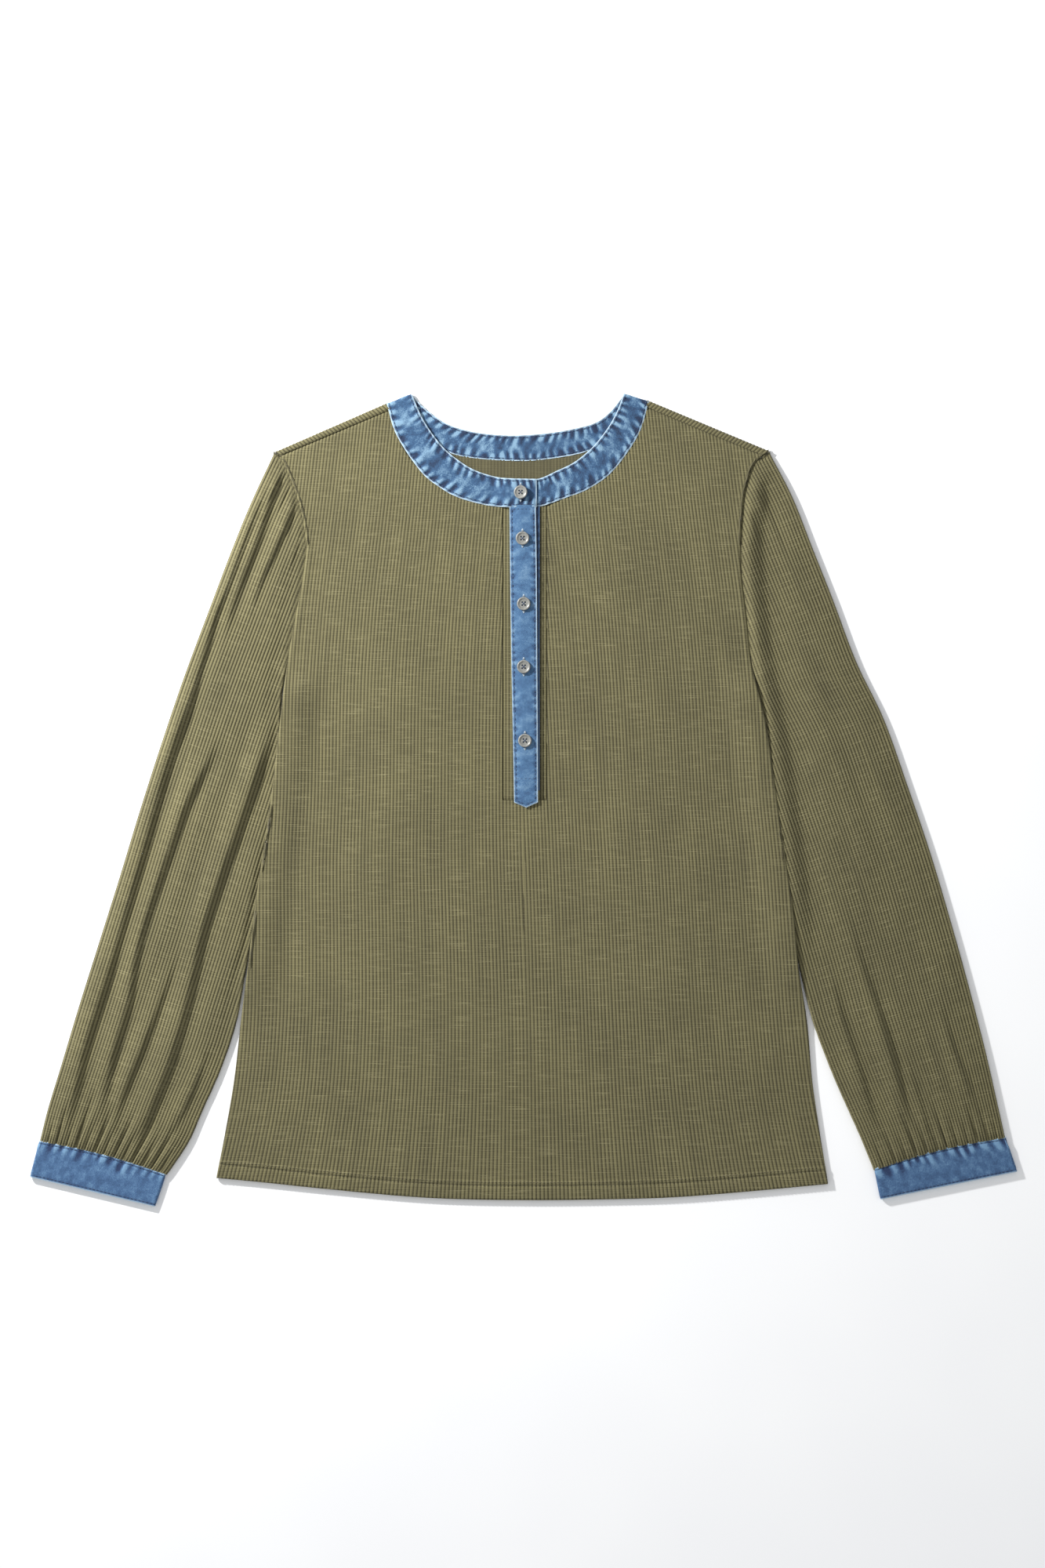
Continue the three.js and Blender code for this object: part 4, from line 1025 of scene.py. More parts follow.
# %% Sleeves
def make_sleeve(side):
    """One sleeve, from the armhole to the cuff."""
    sign = -1 if side == "left" else 1
    stations = np.array(SLEEVES[side], float)
    body_side = left_side if side == "left" else right_side
    steps = np.linspace(0, len(stations) - 1, 600)
    outer = smooth_path(stations[:, :2], steps)
    lengths = np.concatenate([[0], np.cumsum(np.hypot(*np.diff(outer, axis=0).T))])
    even = np.linspace(0, lengths[-1], SLEEVE_ROWS)
    outer = np.stack([np.interp(even, lengths, outer[:, k]) for k in (0, 1)], -1)
    inner_x = smooth_line(stations[:, 2], body_side(stations[:, 2]) - sign * stations[:, 3])
    angles = np.radians(np.interp(even / even[-1], np.linspace(0, 1, 5), RIB_ANGLES[side]))
    across = np.stack([-sign * np.cos(angles), -np.sin(angles)], -1)

    # The length of each line across, to the armhole or the inner edge
    tries = np.arange(0, 260, 0.25)
    try_x = outer[:, :1] + across[:, :1] * tries
    try_y = outer[:, 1:] + across[:, 1:] * tries
    limit = np.where(try_y > UNDERARM, body_side(try_y) + sign * 0.15, inner_x(try_y))
    beyond = (try_x - limit) * sign < 0
    beyond[:, 0] = False
    width = tries[np.argmax(beyond, 1)]
    width[0] = 0
    last = stations[-1]
    width[-1] = np.hypot(last[0] - inner_x(last[2]), last[1] - last[2])
    end_y = outer[:, 1] + across[:, 1] * width
    is_tube = 1 - smoothstep(end_y, 106, 124)

    widest = int(np.argmax(width))
    spacing = np.full(SLEEVE_ROWS, SLEEVE_RIB)
    spacing[widest:] = SLEEVE_RIB * width[widest:] / width[widest]
    count = int(math.ceil(width[widest] / SLEEVE_RIB))
    ribs = np.arange(0, count * RIB_SAMPLES + 1) / RIB_SAMPLES
    radius = SLEEVE_RADIUS
    distance = np.clip(ribs * spacing[:, None], radius, np.maximum(width - radius, radius)[:, None])
    distance = np.minimum(distance, width[:, None])
    insets = radius * (1 - np.cos(np.radians([90, 72, 54, 36, 18, 0])))
    outer_roll = np.minimum(insets[::-1][None] * np.ones((SLEEVE_ROWS, 1)), width[:, None])
    inner_roll = np.maximum(width[:, None] - insets[None], np.minimum(radius, width)[:, None])
    distance = np.hstack([outer_roll, distance, inner_roll])
    rib_number = distance / spacing[:, None]
    x = outer[:, :1] + across[:, :1] * distance
    y = outer[:, 1:] + across[:, 1:] * distance
    share = distance / np.maximum(width[:, None], 1)
    from_cuff = (even[-1] - even)[:, None]
    bow = CUFF_BOW * smoothstep(even / even[-1], 0.8, 1)[:, None]
    y = y + bow * np.sin(math.pi * np.clip(share, 0, 1))

    # How far the roll at each edge drops from the top, as a share of half the thickness
    def rolled(inset):
        near = np.clip(1 - inset / radius, 0, 1)
        return 1 - np.sqrt(1 - near**2)

    outer_drop = rolled(distance)
    from_inner = width[:, None] - distance
    inner_drop = rolled(from_inner)
    tube = is_tube[:, None]
    head = smoothstep(even, 0, 26)[:, None]
    top_base = mix(FRONT_HEIGHT, SLEEVE_HEIGHT, head)
    middle = top_base / 2
    from_body = (x - body_side(y)) * sign
    crown = SLEEVE_PUFF * smoothstep(np.minimum(distance, from_inner), 2, 20)
    crown *= smoothstep(from_body, *CROWN_STARTS[side])
    near_seam = smoothstep(from_body, 0, SEAM_REACH[side])
    calm = smoothstep(distance, 0, 6) * smoothstep(from_inner, 0, 7) * mix(near_seam, 1, tube)
    folds = relief(SLEEVE_FOLDS[side], x, y) * (1 - 0.3 * smoothstep(from_cuff, 30, 0))
    puffs = 1.25 * gathered(GATHERS[side], share, width[:, None], from_cuff)
    puffs += 0.9 * smoothstep(from_cuff, 46, 6)
    top = top_base + (crown + folds * calm) * head
    top = top + puffs * smoothstep(distance, 0, 6) * smoothstep(from_inner, 0, 6)
    top = mix(top, SLEEVE_HEIGHT, 0.75 * smoothstep(from_cuff, 4, 0))
    top = mix(top, SEAM_TOP[side], (1 - tube) * (1 - near_seam))
    top = np.maximum(top, 2 * KNIT_WALL + 0.15)
    seam_dip = 0.15 * (1 - smoothstep(from_inner, 0, 1.2)) * (1 - tube)
    drop = np.maximum(outer_drop, inner_drop * tube)
    z_top = top - (top - middle) * drop - seam_dip
    z_bottom = middle * drop + 0.8 * (1 - smoothstep(from_inner, 0, 1.6)) * (1 - tube)

    grooves = SLEEVE_RIB_DEPTH * groove_depth(rib_number) * smoothstep(from_inner, 0.5, 4)
    z_top = z_top - grooves * (1 - drop)
    z_bottom = z_bottom + grooves * (1 - drop)
    upper = np.stack([x, y, z_top], -1)
    lower = np.stack([x, y, z_bottom], -1)
    points = np.hstack([lower[:, ::-1], upper[:, 1:]])
    facing = np.hstack([np.broadcast_to(DOWN, lower.shape), np.broadcast_to(UP, upper[:, 1:].shape)])
    numbers = np.hstack([-rib_number[:, ::-1], rib_number[:, 1:]])
    down = np.broadcast_to(even[:, None], numbers.shape)
    return knit_piece(f"sleeve_{side}_knit", points, facing, numbers, down)


sleeves = {side: make_sleeve(side) for side in ("left", "right")}
for side, sleeve in sleeves.items():
    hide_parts(f"sleeve_{side}")
    report(sleeve)

# %% [markdown]
# Denim that is sewn through twice and then washed shrinks less than its thread, so it puckers:
# short bumps stand in a row along each line of stitches. A wave that is random but smooth
# gives them uneven lengths and heights, and it also tells the shader where the wash has paled
# the cloth. A seed for each piece keeps the result the same on every run.

# %% Puckers
def wavy(places, spacing, seed):
    """A smooth wave from -1 to 1 that turns about once in this many millimetres."""
    draw = np.random.default_rng(seed)
    count = int((np.max(places) - np.min(places)) / spacing * 1.8) + 12
    knots = np.min(places) - 3 * spacing + np.cumsum(draw.uniform(0.45, 1.6, count)) * spacing
    turns = np.where(np.arange(count) % 2, -1, 1) * draw.uniform(0.2, 1, count)
    return smooth_line(knots, turns)(places)


def puckers(along, across, width, seed, spacing=3.1, reach=6, both=True, calm=0.4):
    """How far each place of a denim strip stands proud, from -1 to 1."""
    uneven = 1 + 0.35 * wavy(along, 4 * spacing, seed + 3)
    lower_edge = np.exp(-((across / (reach * uneven)) ** 4))
    upper_edge = np.exp(-(((width - across) / (reach * uneven)) ** 4)) * both
    first = wavy(along + 0.25 * across, spacing, seed) * lower_edge
    second = wavy(along - 0.2 * across, spacing, seed + 1) * upper_edge
    middle = 1 - np.maximum(lower_edge, upper_edge)
    between = calm * wavy(along + 0.5 * across, 3 * spacing, seed + 2) * middle
    return np.clip(1.6 * (first + second) + between, -1, 1)


def denim_face(edge, proud, bumps=0.38):
    """How far a strip's face stands out: rounded edges, a channel along the stitches, puckers."""
    rounding = 0.4 * (1 - smoothstep(edge, 0, 0.9))
    channel = 0.28 * np.exp(-(((edge - STITCH_INSET) / 0.7) ** 2))
    return bumps * proud - rounding - channel


# %% [markdown]
# The neckband is one strip. It starts at the placket, goes round the left of the neck, folds
# over the shoulder, runs behind the neck, folds again and ends under its own start. Each place
# along it has two edge points, a height and the way that its outer face looks.

# %% Neckband
DENIM_WALL = 1.3
BAND_FRONT, BAND_BACK_HEIGHT, BAND_LAP = 3.2, 0.65, 4.75
BAND_ACROSS = 20
BAND_STEP = 1.0
BAND_OVERLAP = 0.9


def band_rows(table, start, end):
    """Rows along a part of the band, an even step apart."""
    table = np.array(table, float)
    fine = smooth_path(table, np.linspace(0, len(table) - 1, 400))
    middle = (fine[:, :2] + fine[:, 2:]) / 2
    lengths = np.concatenate([[0], np.cumsum(np.hypot(*np.diff(middle, axis=0).T))])
    even = np.linspace(start * lengths[-1], end * lengths[-1], int(lengths[-1] / BAND_STEP))
    return np.stack([np.interp(even, lengths, fine[:, k]) for k in range(4)], -1)


def band_bend(row, side, high, low):
    """Rows of the band over one shoulder, from its front height to its back height."""
    sign = -1 if side == "left" else 1
    seam, free = np.array(row[:2], float), np.array(row[2:], float)
    along = (free - seam) / np.hypot(*(free - seam))
    out = np.array([along[1], -along[0]]) * sign
    radius = (high - low) / 2
    rows, heights, normals = [], [], []
    for angle in np.radians([72, 54, 36, 18, 0, -18, -36, -54, -72]):
        shift = out * radius * math.cos(angle)
        rows.append(np.concatenate([seam + shift, free + shift]))
        heights.append((high + low) / 2 + radius * math.sin(angle))
        normals.append((*(out * math.cos(angle)), math.sin(angle)))
    return np.array(rows), np.array(heights), np.array(normals)


def band_path():
    """All rows of the band in order, with their heights and the way they face."""
    left = band_rows([BAND_FOLD_LEFT, *BAND_FRONT_LEFT], 1, 0)
    behind = band_rows([BAND_FOLD_LEFT, *BAND_BACK, BAND_FOLD_RIGHT], 0, 1)
    right = band_rows([BAND_FOLD_RIGHT, *BAND_FRONT_RIGHT], 0, 1)
    lap = smoothstep(left[:, 0], -30, -13)
    bends = {}
    for side, row in (("left", BAND_FOLD_LEFT), ("right", BAND_FOLD_RIGHT)):
        bends[side] = band_bend(row, side, BAND_FRONT, BAND_BACK_HEIGHT)
    parts = [
        (left, mix(BAND_FRONT, BAND_LAP, lap), np.broadcast_to(UP, (len(left), 3))),
        bends["left"],
        (behind, np.full(len(behind), BAND_BACK_HEIGHT), np.broadcast_to(DOWN, (len(behind), 3))),
        tuple(part[::-1] for part in bends["right"]),
        (right, np.full(len(right), BAND_FRONT), np.broadcast_to(UP, (len(right), 3))),
    ]
    return [np.concatenate(part) for part in zip(*parts)]


band_places, band_heights, band_normals = band_path()


def band_grid():
    """The band's outer face, with how far each place is along, across and from an edge."""
    seam, free = band_places[:, :2], band_places[:, 2:]
    widths = np.hypot(*(free - seam).T)
    middle = (seam + free) / 2
    middle = np.column_stack([middle, band_heights])
    along = np.concatenate([[0], np.cumsum(np.linalg.norm(np.diff(middle, axis=0), axis=1))])
    share = np.linspace(0, 1, BAND_ACROSS + 1)
    share = 0.5 - 0.5 * np.cos(math.pi * share) * (0.55 + 0.45 * np.abs(np.cos(math.pi * share)))
    across = share[None] * (widths + BAND_OVERLAP)[:, None]
    start = seam - (free - seam) / widths[:, None] * BAND_OVERLAP
    flat = start[:, None] + (free - seam)[:, None] / widths[:, None, None] * across[..., None]
    along = np.broadcast_to(along[:, None], across.shape)
    edge = np.minimum(across, (widths + BAND_OVERLAP)[:, None] - across)
    edge = np.minimum(edge, np.minimum(along, along.max() - along))
    proud = puckers(along, across, (widths + BAND_OVERLAP)[:, None], seed=4, spacing=3.7, reach=7.5)
    lift = DENIM_WALL / 2 + denim_face(edge, proud)
    base = np.dstack([flat, np.broadcast_to(band_heights[:, None], across.shape)])
    points = base + band_normals[:, None] * lift[..., None]
    points[..., 2] = np.maximum(points[..., 2], 0)
    return points, along, across, edge, proud


def make_neckband():
    """The neckband."""
    points, along, across, edge, proud = band_grid()
    facing = np.broadcast_to(band_normals[:, None], points.shape)
    grids = (along, across, edge, proud)
    return denim_piece("neckband_denim", points, facing, *grids, DENIM_WALL, band_denim)


neckband = make_neckband()
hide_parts("neckband")
report(neckband)

# %% [markdown]
# The placket fills the slit: a strip of the knit at the bottom, the denim under lap that the
# buttons are sewn to, and the top lap with its pointed end, which is stitched down both sides.

# %% Placket
PLACKET_TOP = 249
LAP_WALL = 1.1
LAP_EDGES = [  # y, left, right
    (249, -12, 10.2), (190, -11.4, 11), (120, -10.4, 11.4), (60, -9.2, 11.8), (-1, -8, 12),
]
LAP_TIP = (2, -5.4)
POINT_HEIGHTS = [-1, -1.8, -2.6, -3.4, -4.2, -4.9, -5.4]
lap_left = smooth_line([row[0] for row in LAP_EDGES], [row[1] for row in LAP_EDGES])
lap_right = smooth_line([row[0] for row in LAP_EDGES], [row[2] for row in LAP_EDGES])
UNDER_EDGES = (-8, 13.4)
LAP_ACROSS = 18
LAP_ROW = 1.5
SEWN_EDGE = 0.35


def strip_grid(heights, left, right, columns):
    """Points between two edges, a row for each height, from the top down."""
    share = np.linspace(0, 1, columns + 1)[None]
    y = np.array(heights, float)[:, None]
    left, right = np.array(left, float)[:, None], np.array(right, float)[:, None]
    return mix(left, right, share), np.broadcast_to(y, (len(heights), columns + 1)), share


def lap_height(x, y, share):
    """Height of the top lap's face, before its puckers."""
    return 4.75 + 1.1 * smoothstep(share, 0, 0.45) - 0.6 * smoothstep(y, 2, -5)


def lap_outline():
    """The sewn and free edges of the top lap, and its point."""
    heights = np.linspace(PLACKET_TOP, -1, 60)
    left = np.column_stack([lap_left(heights), heights])
    right = np.column_stack([lap_right(heights), heights])
    return np.vstack([left, [LAP_TIP], right[::-1]])


def make_placket_top():
    """The pointed top lap."""
    heights = np.concatenate([np.arange(PLACKET_TOP, -1, -LAP_ROW), POINT_HEIGHTS])
    narrowing = np.clip((-1 - heights) / 4.4, 0, 1)
    left = mix(lap_left(heights), LAP_TIP[0], narrowing)
    right = mix(lap_right(heights), LAP_TIP[0], narrowing)
    x, y, share = strip_grid(heights, left, right, LAP_ACROSS)
    edge, _, _ = nearest_on(lap_outline(), x, y)
    edge = edge + SEWN_EDGE * (1 - smoothstep(share, 0.2, 0.4))
    along, across = PLACKET_TOP - y, x - lap_left(y)
    proud = puckers(along, across, 22, seed=21, spacing=3.6, reach=4.5)
    z = lap_height(x, y, share) + denim_face(edge, proud, 0.25)
    points = np.stack([x, y, z], -1)
    facing = np.broadcast_to(UP, points.shape)
    grids = (along, across, edge, proud)
    return denim_piece("placket_top_denim", points, facing, *grids, LAP_WALL, placket_denim)


def make_placket_under():
    """The under lap, which shows as a sliver along the right edge, in a darker copy of the denim as
    painted shade.
    """
    left, right = UNDER_EDGES
    heights = np.arange(PLACKET_TOP, 7.9, -2.2)
    x, y, _ = strip_grid(heights, np.full(len(heights), left), np.full(len(heights), right), 14)
    edge = np.minimum(x - left, right - x)
    along, across = PLACKET_TOP - y, x - left
    proud = puckers(along, across, 21.4, seed=31)
    points = np.stack([x, y, 4.2 + denim_face(edge, proud, 0.15)], -1)
    facing = np.broadcast_to(UP, points.shape)
    grids = (along, across, edge, proud)
    return denim_piece("placket_under_denim", points, facing, *grids, LAP_WALL, shaded_under_denim)


def make_placket_base():
    """The strip of knit in the slit, with its ribs a little deeper than the front."""
    heights = np.linspace(PLACKET_TOP, SLIT["foot"] + 0.3, 90)
    columns = int((SLIT["right"] - SLIT["left"]) / rib_spacing(120) * RIB_SAMPLES)
    x, y, share = strip_grid(
        heights, np.full(90, SLIT["left"] + 0.3), np.full(90, SLIT["right"] - 0.3), columns
    )
    ribs = np.broadcast_to(share * columns / RIB_SAMPLES, x.shape)
    inset = np.minimum(x - SLIT["left"], SLIT["right"] - x)
    edge = np.minimum(inset, y - SLIT["foot"])
    z = 2.9 - 0.7 * (1 - smoothstep(edge, 0.3, 1.8)) - RIB_DEPTH * groove_depth(ribs)
    z = z - 0.5 * smoothstep(x, 12, 14)
    points = np.stack([x, y, z], -1)
    return knit_piece("placket_base_knit", points, np.broadcast_to(UP, points.shape), ribs, y)


placket_base = make_placket_base()
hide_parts("placket_base")
placket_under = make_placket_under()
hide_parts("placket_under")
placket_top = make_placket_top()
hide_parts("placket_top")
for piece in (placket_base, placket_under, placket_top):
    report(piece)

# %% [markdown]
# Each cuff is a band of denim sewn into a ring and laid flat. It is a tube like the sleeve, so
# it goes round from the outer edge over the top and back underneath.

# %% Cuffs
CUFFS = {  # top outer, top inner, bottom outer, bottom inner
    "left": [(-407.4, -285.2), (-300.5, -313.6), (-415.5, -316), (-310, -341)],
    "right": [(405.4, -282.2), (294.5, -308.6), (415.5, -311.5), (300, -335)],
}
CUFF_WALL = 1.6
CUFF_HEIGHT = 4.2
CUFF_STEP = 1.0
CUFF_ROWS = 24


def cuff_grid(side):
    """The cuff's outer face: points, way they face, along, across and from an edge."""
    corners = np.array(CUFFS[side], float)
    down = np.linspace(0, 1, CUFF_ROWS + 1)
    down = 0.5 - 0.5 * np.cos(math.pi * down)
    outer = mix(corners[0], corners[2], down[:, None])
    inner = mix(corners[1], corners[3], down[:, None])
    width = np.hypot(*(inner - outer).T)
    depth = np.hypot(*(corners[2] - corners[0]))
    radius = CUFF_HEIGHT / 2
    top_count = int(width.mean() / CUFF_STEP)
    turn = np.radians(np.linspace(-90, 90, 13))
    rows = []
    facing = []
    for i in range(CUFF_ROWS + 1):
        span = width[i]
        straight = np.linspace(radius, span - radius, top_count)
        inner_x = span - radius + radius * np.cos(turn[::-1])
        outer_x = radius - radius * np.cos(turn)
        distance = np.concatenate(
            [straight, inner_x[1:-1], straight[::-1], outer_x[1:-1], straight[:1]]
        )
        height = np.concatenate([
            np.full(top_count, 1.0), np.sin(turn[::-1])[1:-1], np.full(top_count, -1.0),
            np.sin(turn)[1:-1], [1.0],
        ])
        way = (inner[i] - outer[i]) / span
        bow = CUFF_BOW * (1 - down[i]) * np.sin(math.pi * np.clip(distance / span, 0, 1))
        x = outer[i, 0] + way[0] * distance
        y = outer[i, 1] + way[1] * distance + bow
        rows.append(np.stack([x, y, radius + radius * height], -1))
        sideways = np.where(np.abs(height) < 1, np.sqrt(1 - np.clip(height, -1, 1) ** 2), 0)
        sideways = sideways * np.where(distance > span / 2, 1, -1)
        facing.append(np.stack([way[0] * sideways, way[1] * sideways, height], -1))
    points, facing = np.array(rows), np.array(facing)
    steps = np.linalg.norm(np.diff(points, axis=1), axis=2).mean(0)
    along = np.broadcast_to(np.concatenate([[0], np.cumsum(steps)]), points.shape[:2])
    across = np.broadcast_to((down * depth)[:, None], points.shape[:2])
    edge = np.minimum(across, depth - across)
    return points, facing, along, across, edge, depth


def make_cuff(side):
    """One cuff."""
    points, facing, along, across, edge, depth = cuff_grid(side)
    seed = 50 if side == "left" else 60
    proud = puckers(along, across, depth, seed, spacing=4.4, reach=9, both=False, calm=0.08)
    points = points + facing * denim_face(edge, proud, 0.32)[..., None]
    points[..., 2] = np.maximum(points[..., 2], 0)
    points[:, -1] = points[:, 0]
    grids = (along, across, edge, proud)
    return denim_piece(f"cuff_{side}_denim", points, facing, *grids, CUFF_WALL, cuff_denim)


cuffs = {side: make_cuff(side) for side in ("left", "right")}
for side, cuff in cuffs.items():
    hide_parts(f"cuff_{side}")
    report(cuff)

# %% [markdown]
# A button is a turned disc with a raised rim and four holes. The disc is a profile spun round
# its middle, with its rim already rounded, and a boolean cuts the holes.

# %% Buttons
BUTTONS = [(-2.6, 259.7, 5.8), (-1, 221, 6), (0, 166, 6), (0, 113, 6), (1, 51, 6)]
BUTTON_TILT = (7, 0, 0, 0, 0)
BUTTON_PROFILE = [
    (0, 0), (3.9, 0), (4.9, 0.3), (5.5, 0.75), (5.7, 1.2), (5.62, 1.7), (5.3, 2.08), (4.9, 2.2),
    (4.5, 2.1), (4.1, 1.75), (3.6, 1.5), (3, 1.42), (0, 1.42),
]
BUTTON_SIDES = 56
HOLES = {"radius": 0.72, "ring": 1.75, "sides": 16}
PIN_PROFILE = [(0, -1), (HOLES["radius"], -1), (HOLES["radius"], 3), (0, 3)]
BUTTON_RADIUS = 5.7


def turned_disc(profile, sides):
    """A closed solid made by spinning a profile about the Z axis."""
    form = bmesh.new()
    rings = []
    for radius, height in profile:
        if radius == 0:
            rings.append([form.verts.new((0, 0, height))])
            continue
        turns = [2 * math.pi * i / sides for i in range(sides)]
        circle = [(radius * math.cos(t), radius * math.sin(t), height) for t in turns]
        rings.append([form.verts.new(place) for place in circle])
    for lower, upper in zip(rings, rings[1:]):
        for i in range(sides):
            a, b = lower[i % len(lower)], lower[(i + 1) % len(lower)]
            c, d = upper[(i + 1) % len(upper)], upper[i % len(upper)]
            form.faces.new(dict.fromkeys([a, b, c, d]))
    bmesh.ops.recalc_face_normals(form, faces=form.faces)
    mesh = bpy.data.meshes.new("disc")
    form.to_mesh(mesh)
    form.free()
    return mesh


def button_mesh():
    """A button of 11.4 mm with four holes, in millimetres about its own middle."""
    disc = bpy.data.objects.new("disc", turned_disc(BUTTON_PROFILE, BUTTON_SIDES))
    scene.collection.objects.link(disc)
    pins = []
    for turn in (45, 135, 225, 315):
        pin = bpy.data.objects.new("pin", turned_disc(PIN_PROFILE, HOLES["sides"]))
        turn = math.radians(turn)
        pin.location = (HOLES["ring"] * math.cos(turn), HOLES["ring"] * math.sin(turn), 0)
        scene.collection.objects.link(pin)
        pins.append(pin)
        cut = disc.modifiers.new("hole", "BOOLEAN")
        cut.operation = "DIFFERENCE"
        cut.solver = "EXACT"
        cut.object = pin
    mesh = built_mesh(disc)
    for maker in [disc, *pins]:
        bpy.data.objects.remove(maker)
    return mesh


button_form = button_mesh()
for i, ((x, y, z), tilt) in enumerate(zip(BUTTONS, BUTTON_TILT), 1):
    mesh = button_form.copy()
    points = np.zeros(3 * len(mesh.vertices))
    mesh.vertices.foreach_get("co", points)
    points = points.reshape(-1, 3)
    lean = math.radians(tilt)
    points[:, 2] += (points[:, 0] + BUTTON_RADIUS) * math.sin(lean)
    points[:, 0] *= math.cos(lean)
    mesh.vertices.foreach_set("co", in_frame(points + (x, y, z)).ravel())
    mesh.materials.clear()
    mesh.materials.append(grey_resin)
    button = smooth_object(f"button_{i}_resin", mesh, sharp=40)
    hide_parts(f"button_{i}")
report(button)

# %% [markdown]
# Stitches are modelled one by one: a short length of thread, thinner at both ends where it dives
# into the cloth. One mesh holds a whole row, and a row is laid along any line on the drawing.

# %% Stitches
STITCH_SIDES = 6
STITCH_RINGS = [(0, 0.3, -0.9), (0.22, 1, 0), (0.78, 1, 0), (1, 0.3, -0.9)]  # share, size, rise


def stitch_mesh(name, lines, length, gap, radius, material, slot, way=UP):
    """Rows of stitches along lines that lie on the cloth."""
    points, faces = [], []
    ring = np.linspace(0, 2 * math.pi, STITCH_SIDES, endpoint=False)
    for line in lines:
        line = np.array(line, float)
        travelled = np.concatenate([[0], np.cumsum(np.linalg.norm(np.diff(line, axis=0), axis=1))])
        for start in np.arange(gap, travelled[-1] - length, length + gap):
            ends = [np.array([np.interp(start + s * length, travelled, line[:, k]) for k in range(3)])
                    for s in (0, 1)]
            along = (ends[1] - ends[0]) / np.linalg.norm(ends[1] - ends[0])
            sideways = np.cross(along, way)
            sideways /= np.linalg.norm(sideways)
            first = len(points)
            for share, size, rise in STITCH_RINGS:
                centre = mix(ends[0], ends[1], share) + way * radius * rise
                for turn in ring:
                    spoke = sideways * math.cos(turn) + way * math.sin(turn)
                    points.append(centre + radius * size * spoke)
            for k in range(len(STITCH_RINGS) - 1):
                for j in range(STITCH_SIDES):
                    low = first + k * STITCH_SIDES
                    a, b = low + j, low + (j + 1) % STITCH_SIDES
                    faces.append((a, b, b + STITCH_SIDES, a + STITCH_SIDES))
            last = first + (len(STITCH_RINGS) - 1) * STITCH_SIDES
            faces.append(tuple(range(first, first + STITCH_SIDES))[::-1])
            faces.append(tuple(range(last, last + STITCH_SIDES)))
    mesh = bpy.data.meshes.new(name)
    mesh.from_pydata(in_frame(points).tolist(), [], faces)
    mesh.materials.append(material)
    return smooth_object(name, mesh)


def band_stitch_line(inset_from_free, inset_from_seam, lift=0.12):
    """A line along the band at one distance from an edge, on its upper face."""
    points, _, across, _, _ = band_grid()
    line = []
    for row, widths in enumerate(across.max(1)):
        place = inset_from_seam if inset_from_seam is not None else widths - inset_from_free
        point = np.array([np.interp(place, across[row], points[row, :, k]) for k in range(3)])
        if band_normals[row][2] < 0:
            point = point - band_normals[row] * DENIM_WALL
        line.append(point + UP * lift)
    return line


topstitch = {"length": 2.4, "gap": 0.9, "radius": 0.3}
neckband_stitching = stitch_mesh(
    "neckband_stitching",
    [band_stitch_line(STITCH_INSET, None)[2:-2], band_stitch_line(None, STITCH_INSET)[2:-2]],
    material=indigo_thread, slot="denim", **topstitch,
)
report(neckband_stitching)


def lap_point(x, y):
    """A point on the top lap's face."""
    share = (x - lap_left(y)) / (lap_right(y) - lap_left(y))
    return (x, y, float(lap_height(x, y, share)) - 0.1)


lap_heights = np.linspace(246, 1, 120)
placket_lines = [
    [lap_point(float(lap_left(y)) + STITCH_INSET, y) for y in lap_heights],
    [lap_point(float(lap_right(y)) - STITCH_INSET, y) for y in lap_heights],
    [lap_point(x, 19) for x in np.linspace(-7, 10, 12)],
    [lap_point(x, 245.6) for x in np.linspace(-10, 8.5, 12)],
    [lap_point(*p) for p in ((-6.2, 1), (-3, -0.8), (2, -3.2))],
    [lap_point(*p) for p in ((2, -3.2), (6.5, -0.9), (10.1, 1))],
]
placket_stitching = stitch_mesh(
    "placket_stitching", placket_lines, material=indigo_thread, slot="denim", **topstitch
)
report(placket_stitching)

# %% [markdown]
# A cuff has a row of stitches along its top and one along its bottom. They run from one fold of
# the cuff to the other, on the half that lies on top.

# %% Cuff stitches
def cuff_lines(side):
    """Lines of stitches round the top and bottom of a cuff, on the side seen from above."""
    points, _, along, across, _, depth = cuff_grid(side)
    lines = []
    half = int(np.argmax(along[0] > along[0].max() / 2))
    for place in (STITCH_INSET, depth - STITCH_INSET):
        line = []
        for column in range(1, half - 6):
            line.append([np.interp(place, across[:, column], points[:, column, k]) for k in range(3)])
        lines.append(np.array(line) - UP * 0.05)
    return lines


for side in ("left", "right"):
    stitching = stitch_mesh(
        f"cuff_{side}_stitching", cuff_lines(side), material=indigo_thread, slot="denim", **topstitch
    )
    report(stitching)

# %% [markdown]
# The hem is turned up and held by a coverstitch, which shows as two rows of stitches.

# %% Hem stitches
hem_x = np.linspace(-252, 249, 400)
hem_lines = []
for up in (HEM_STITCH - 0.1, HEM_STITCH + 3.0):
    y = hem_edge(hem_x) + up
    inside = (hem_x > left_side(y) + 4) & (hem_x < right_side(y) - 4)
    z = front_height(hem_x, y) - 0.05
    hem_lines.append(np.column_stack([hem_x, y, z])[inside])
hem_stitching = stitch_mesh(
    "hem_stitching", hem_lines, length=2.2, gap=0.7, radius=0.22, material=olive_thread, slot="knit"
)
report(hem_stitching)

# %% [markdown]
# Inside the back, just below the neckband, a few stitches show at the middle.

# %% Stitches inside the back of the neck
NECK_MARK = {"x": -4, "top": 284, "foot": 270, "width": 2.2, "rows": 6}

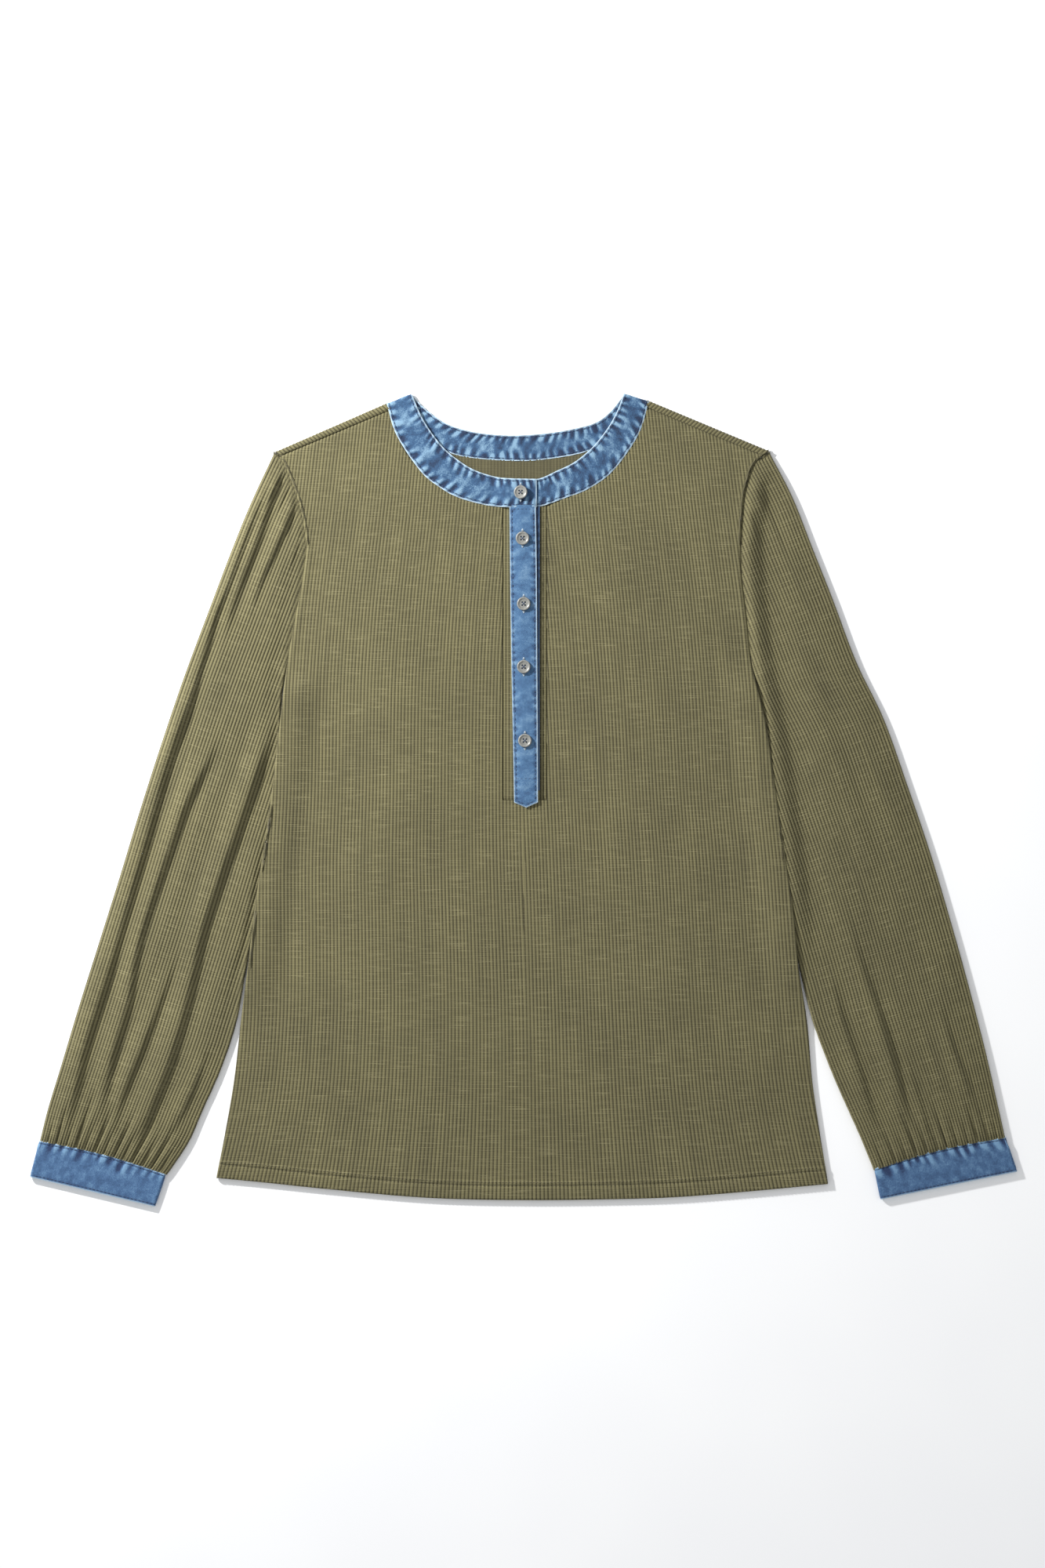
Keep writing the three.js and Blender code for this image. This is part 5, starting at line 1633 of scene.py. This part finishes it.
mark_heights = np.linspace(NECK_MARK["top"], NECK_MARK["foot"], NECK_MARK["rows"] + 1)
mark_sides = NECK_MARK["x"] + NECK_MARK["width"] / 2 * np.array([-1, 1])
mark_lines = [[(side, mark_heights[0], 1.25), (side, mark_heights[-1], 1.25)] for side in mark_sides]
for upper, lower in zip(mark_heights, mark_heights[1:]):
    mark_lines.append([(mark_sides[0], upper, 1.3), (mark_sides[1], lower, 1.3)])
neck_mark = stitch_mesh(
    "back_neck_stitching", mark_lines, length=1.9, gap=0.3, radius=0.22,
    material=olive_thread, slot="knit",
)
report(neck_mark)

# %% [markdown]
# Two threads cross on each button, from hole to hole. The ends of each buttonhole, where it comes
# out from under the button, have three short stitches each.

# %% Threads of the buttons and buttonholes
THREAD_HEIGHT = 1.5
button_threads = []
hole_threads = []
for (x, y, z), tilt in zip(BUTTONS, BUTTON_TILT):
    reach = HOLES["ring"] * math.cos(math.radians(45))
    top = z + THREAD_HEIGHT + BUTTON_RADIUS * math.sin(math.radians(tilt))
    for turn in (1, -1):
        button_threads.append([(x - reach, y - turn * reach, top), (x + reach, y + turn * reach, top)])
    for end in (-1, 1):
        for k in (-1, 0, 1):
            root = (x + 0.1 * k, y + end * 8.2, z - 0.05)
            tip = (x + 0.8 * k, y + end * 5.6, z + 0.1)
            hole_threads.append([root, tip])
stitches_on_buttons = stitch_mesh(
    "button_threads", button_threads, length=3.2, gap=0.06, radius=0.24,
    material=indigo_thread, slot="button",
)
buttonholes = stitch_mesh(
    "buttonhole_threads", hole_threads, length=2.4, gap=0.05, radius=0.3,
    material=pale_thread, slot="denim",
)
report(stitches_on_buttons)
report(buttonholes)

# %% [markdown]
# Every sheet of cloth prints the area of what shows of it, worked out from the drawing, and all
# round where it is a tube. Seam allowances aren't in these sizes, since the model doesn't have them.

# %% The area of each sheet, in square metres
def area_of(piece):
    """Area of one face of a thin shell, in square metres."""
    return sum(polygon.area for polygon in piece.data.polygons) / 2


placket = (placket_base, placket_under, placket_top)
for piece in (front, back, *sleeves.values(), neckband, *placket, *cuffs.values()):
    print(piece.name, "area", round(area_of(piece), 4), "square metres")
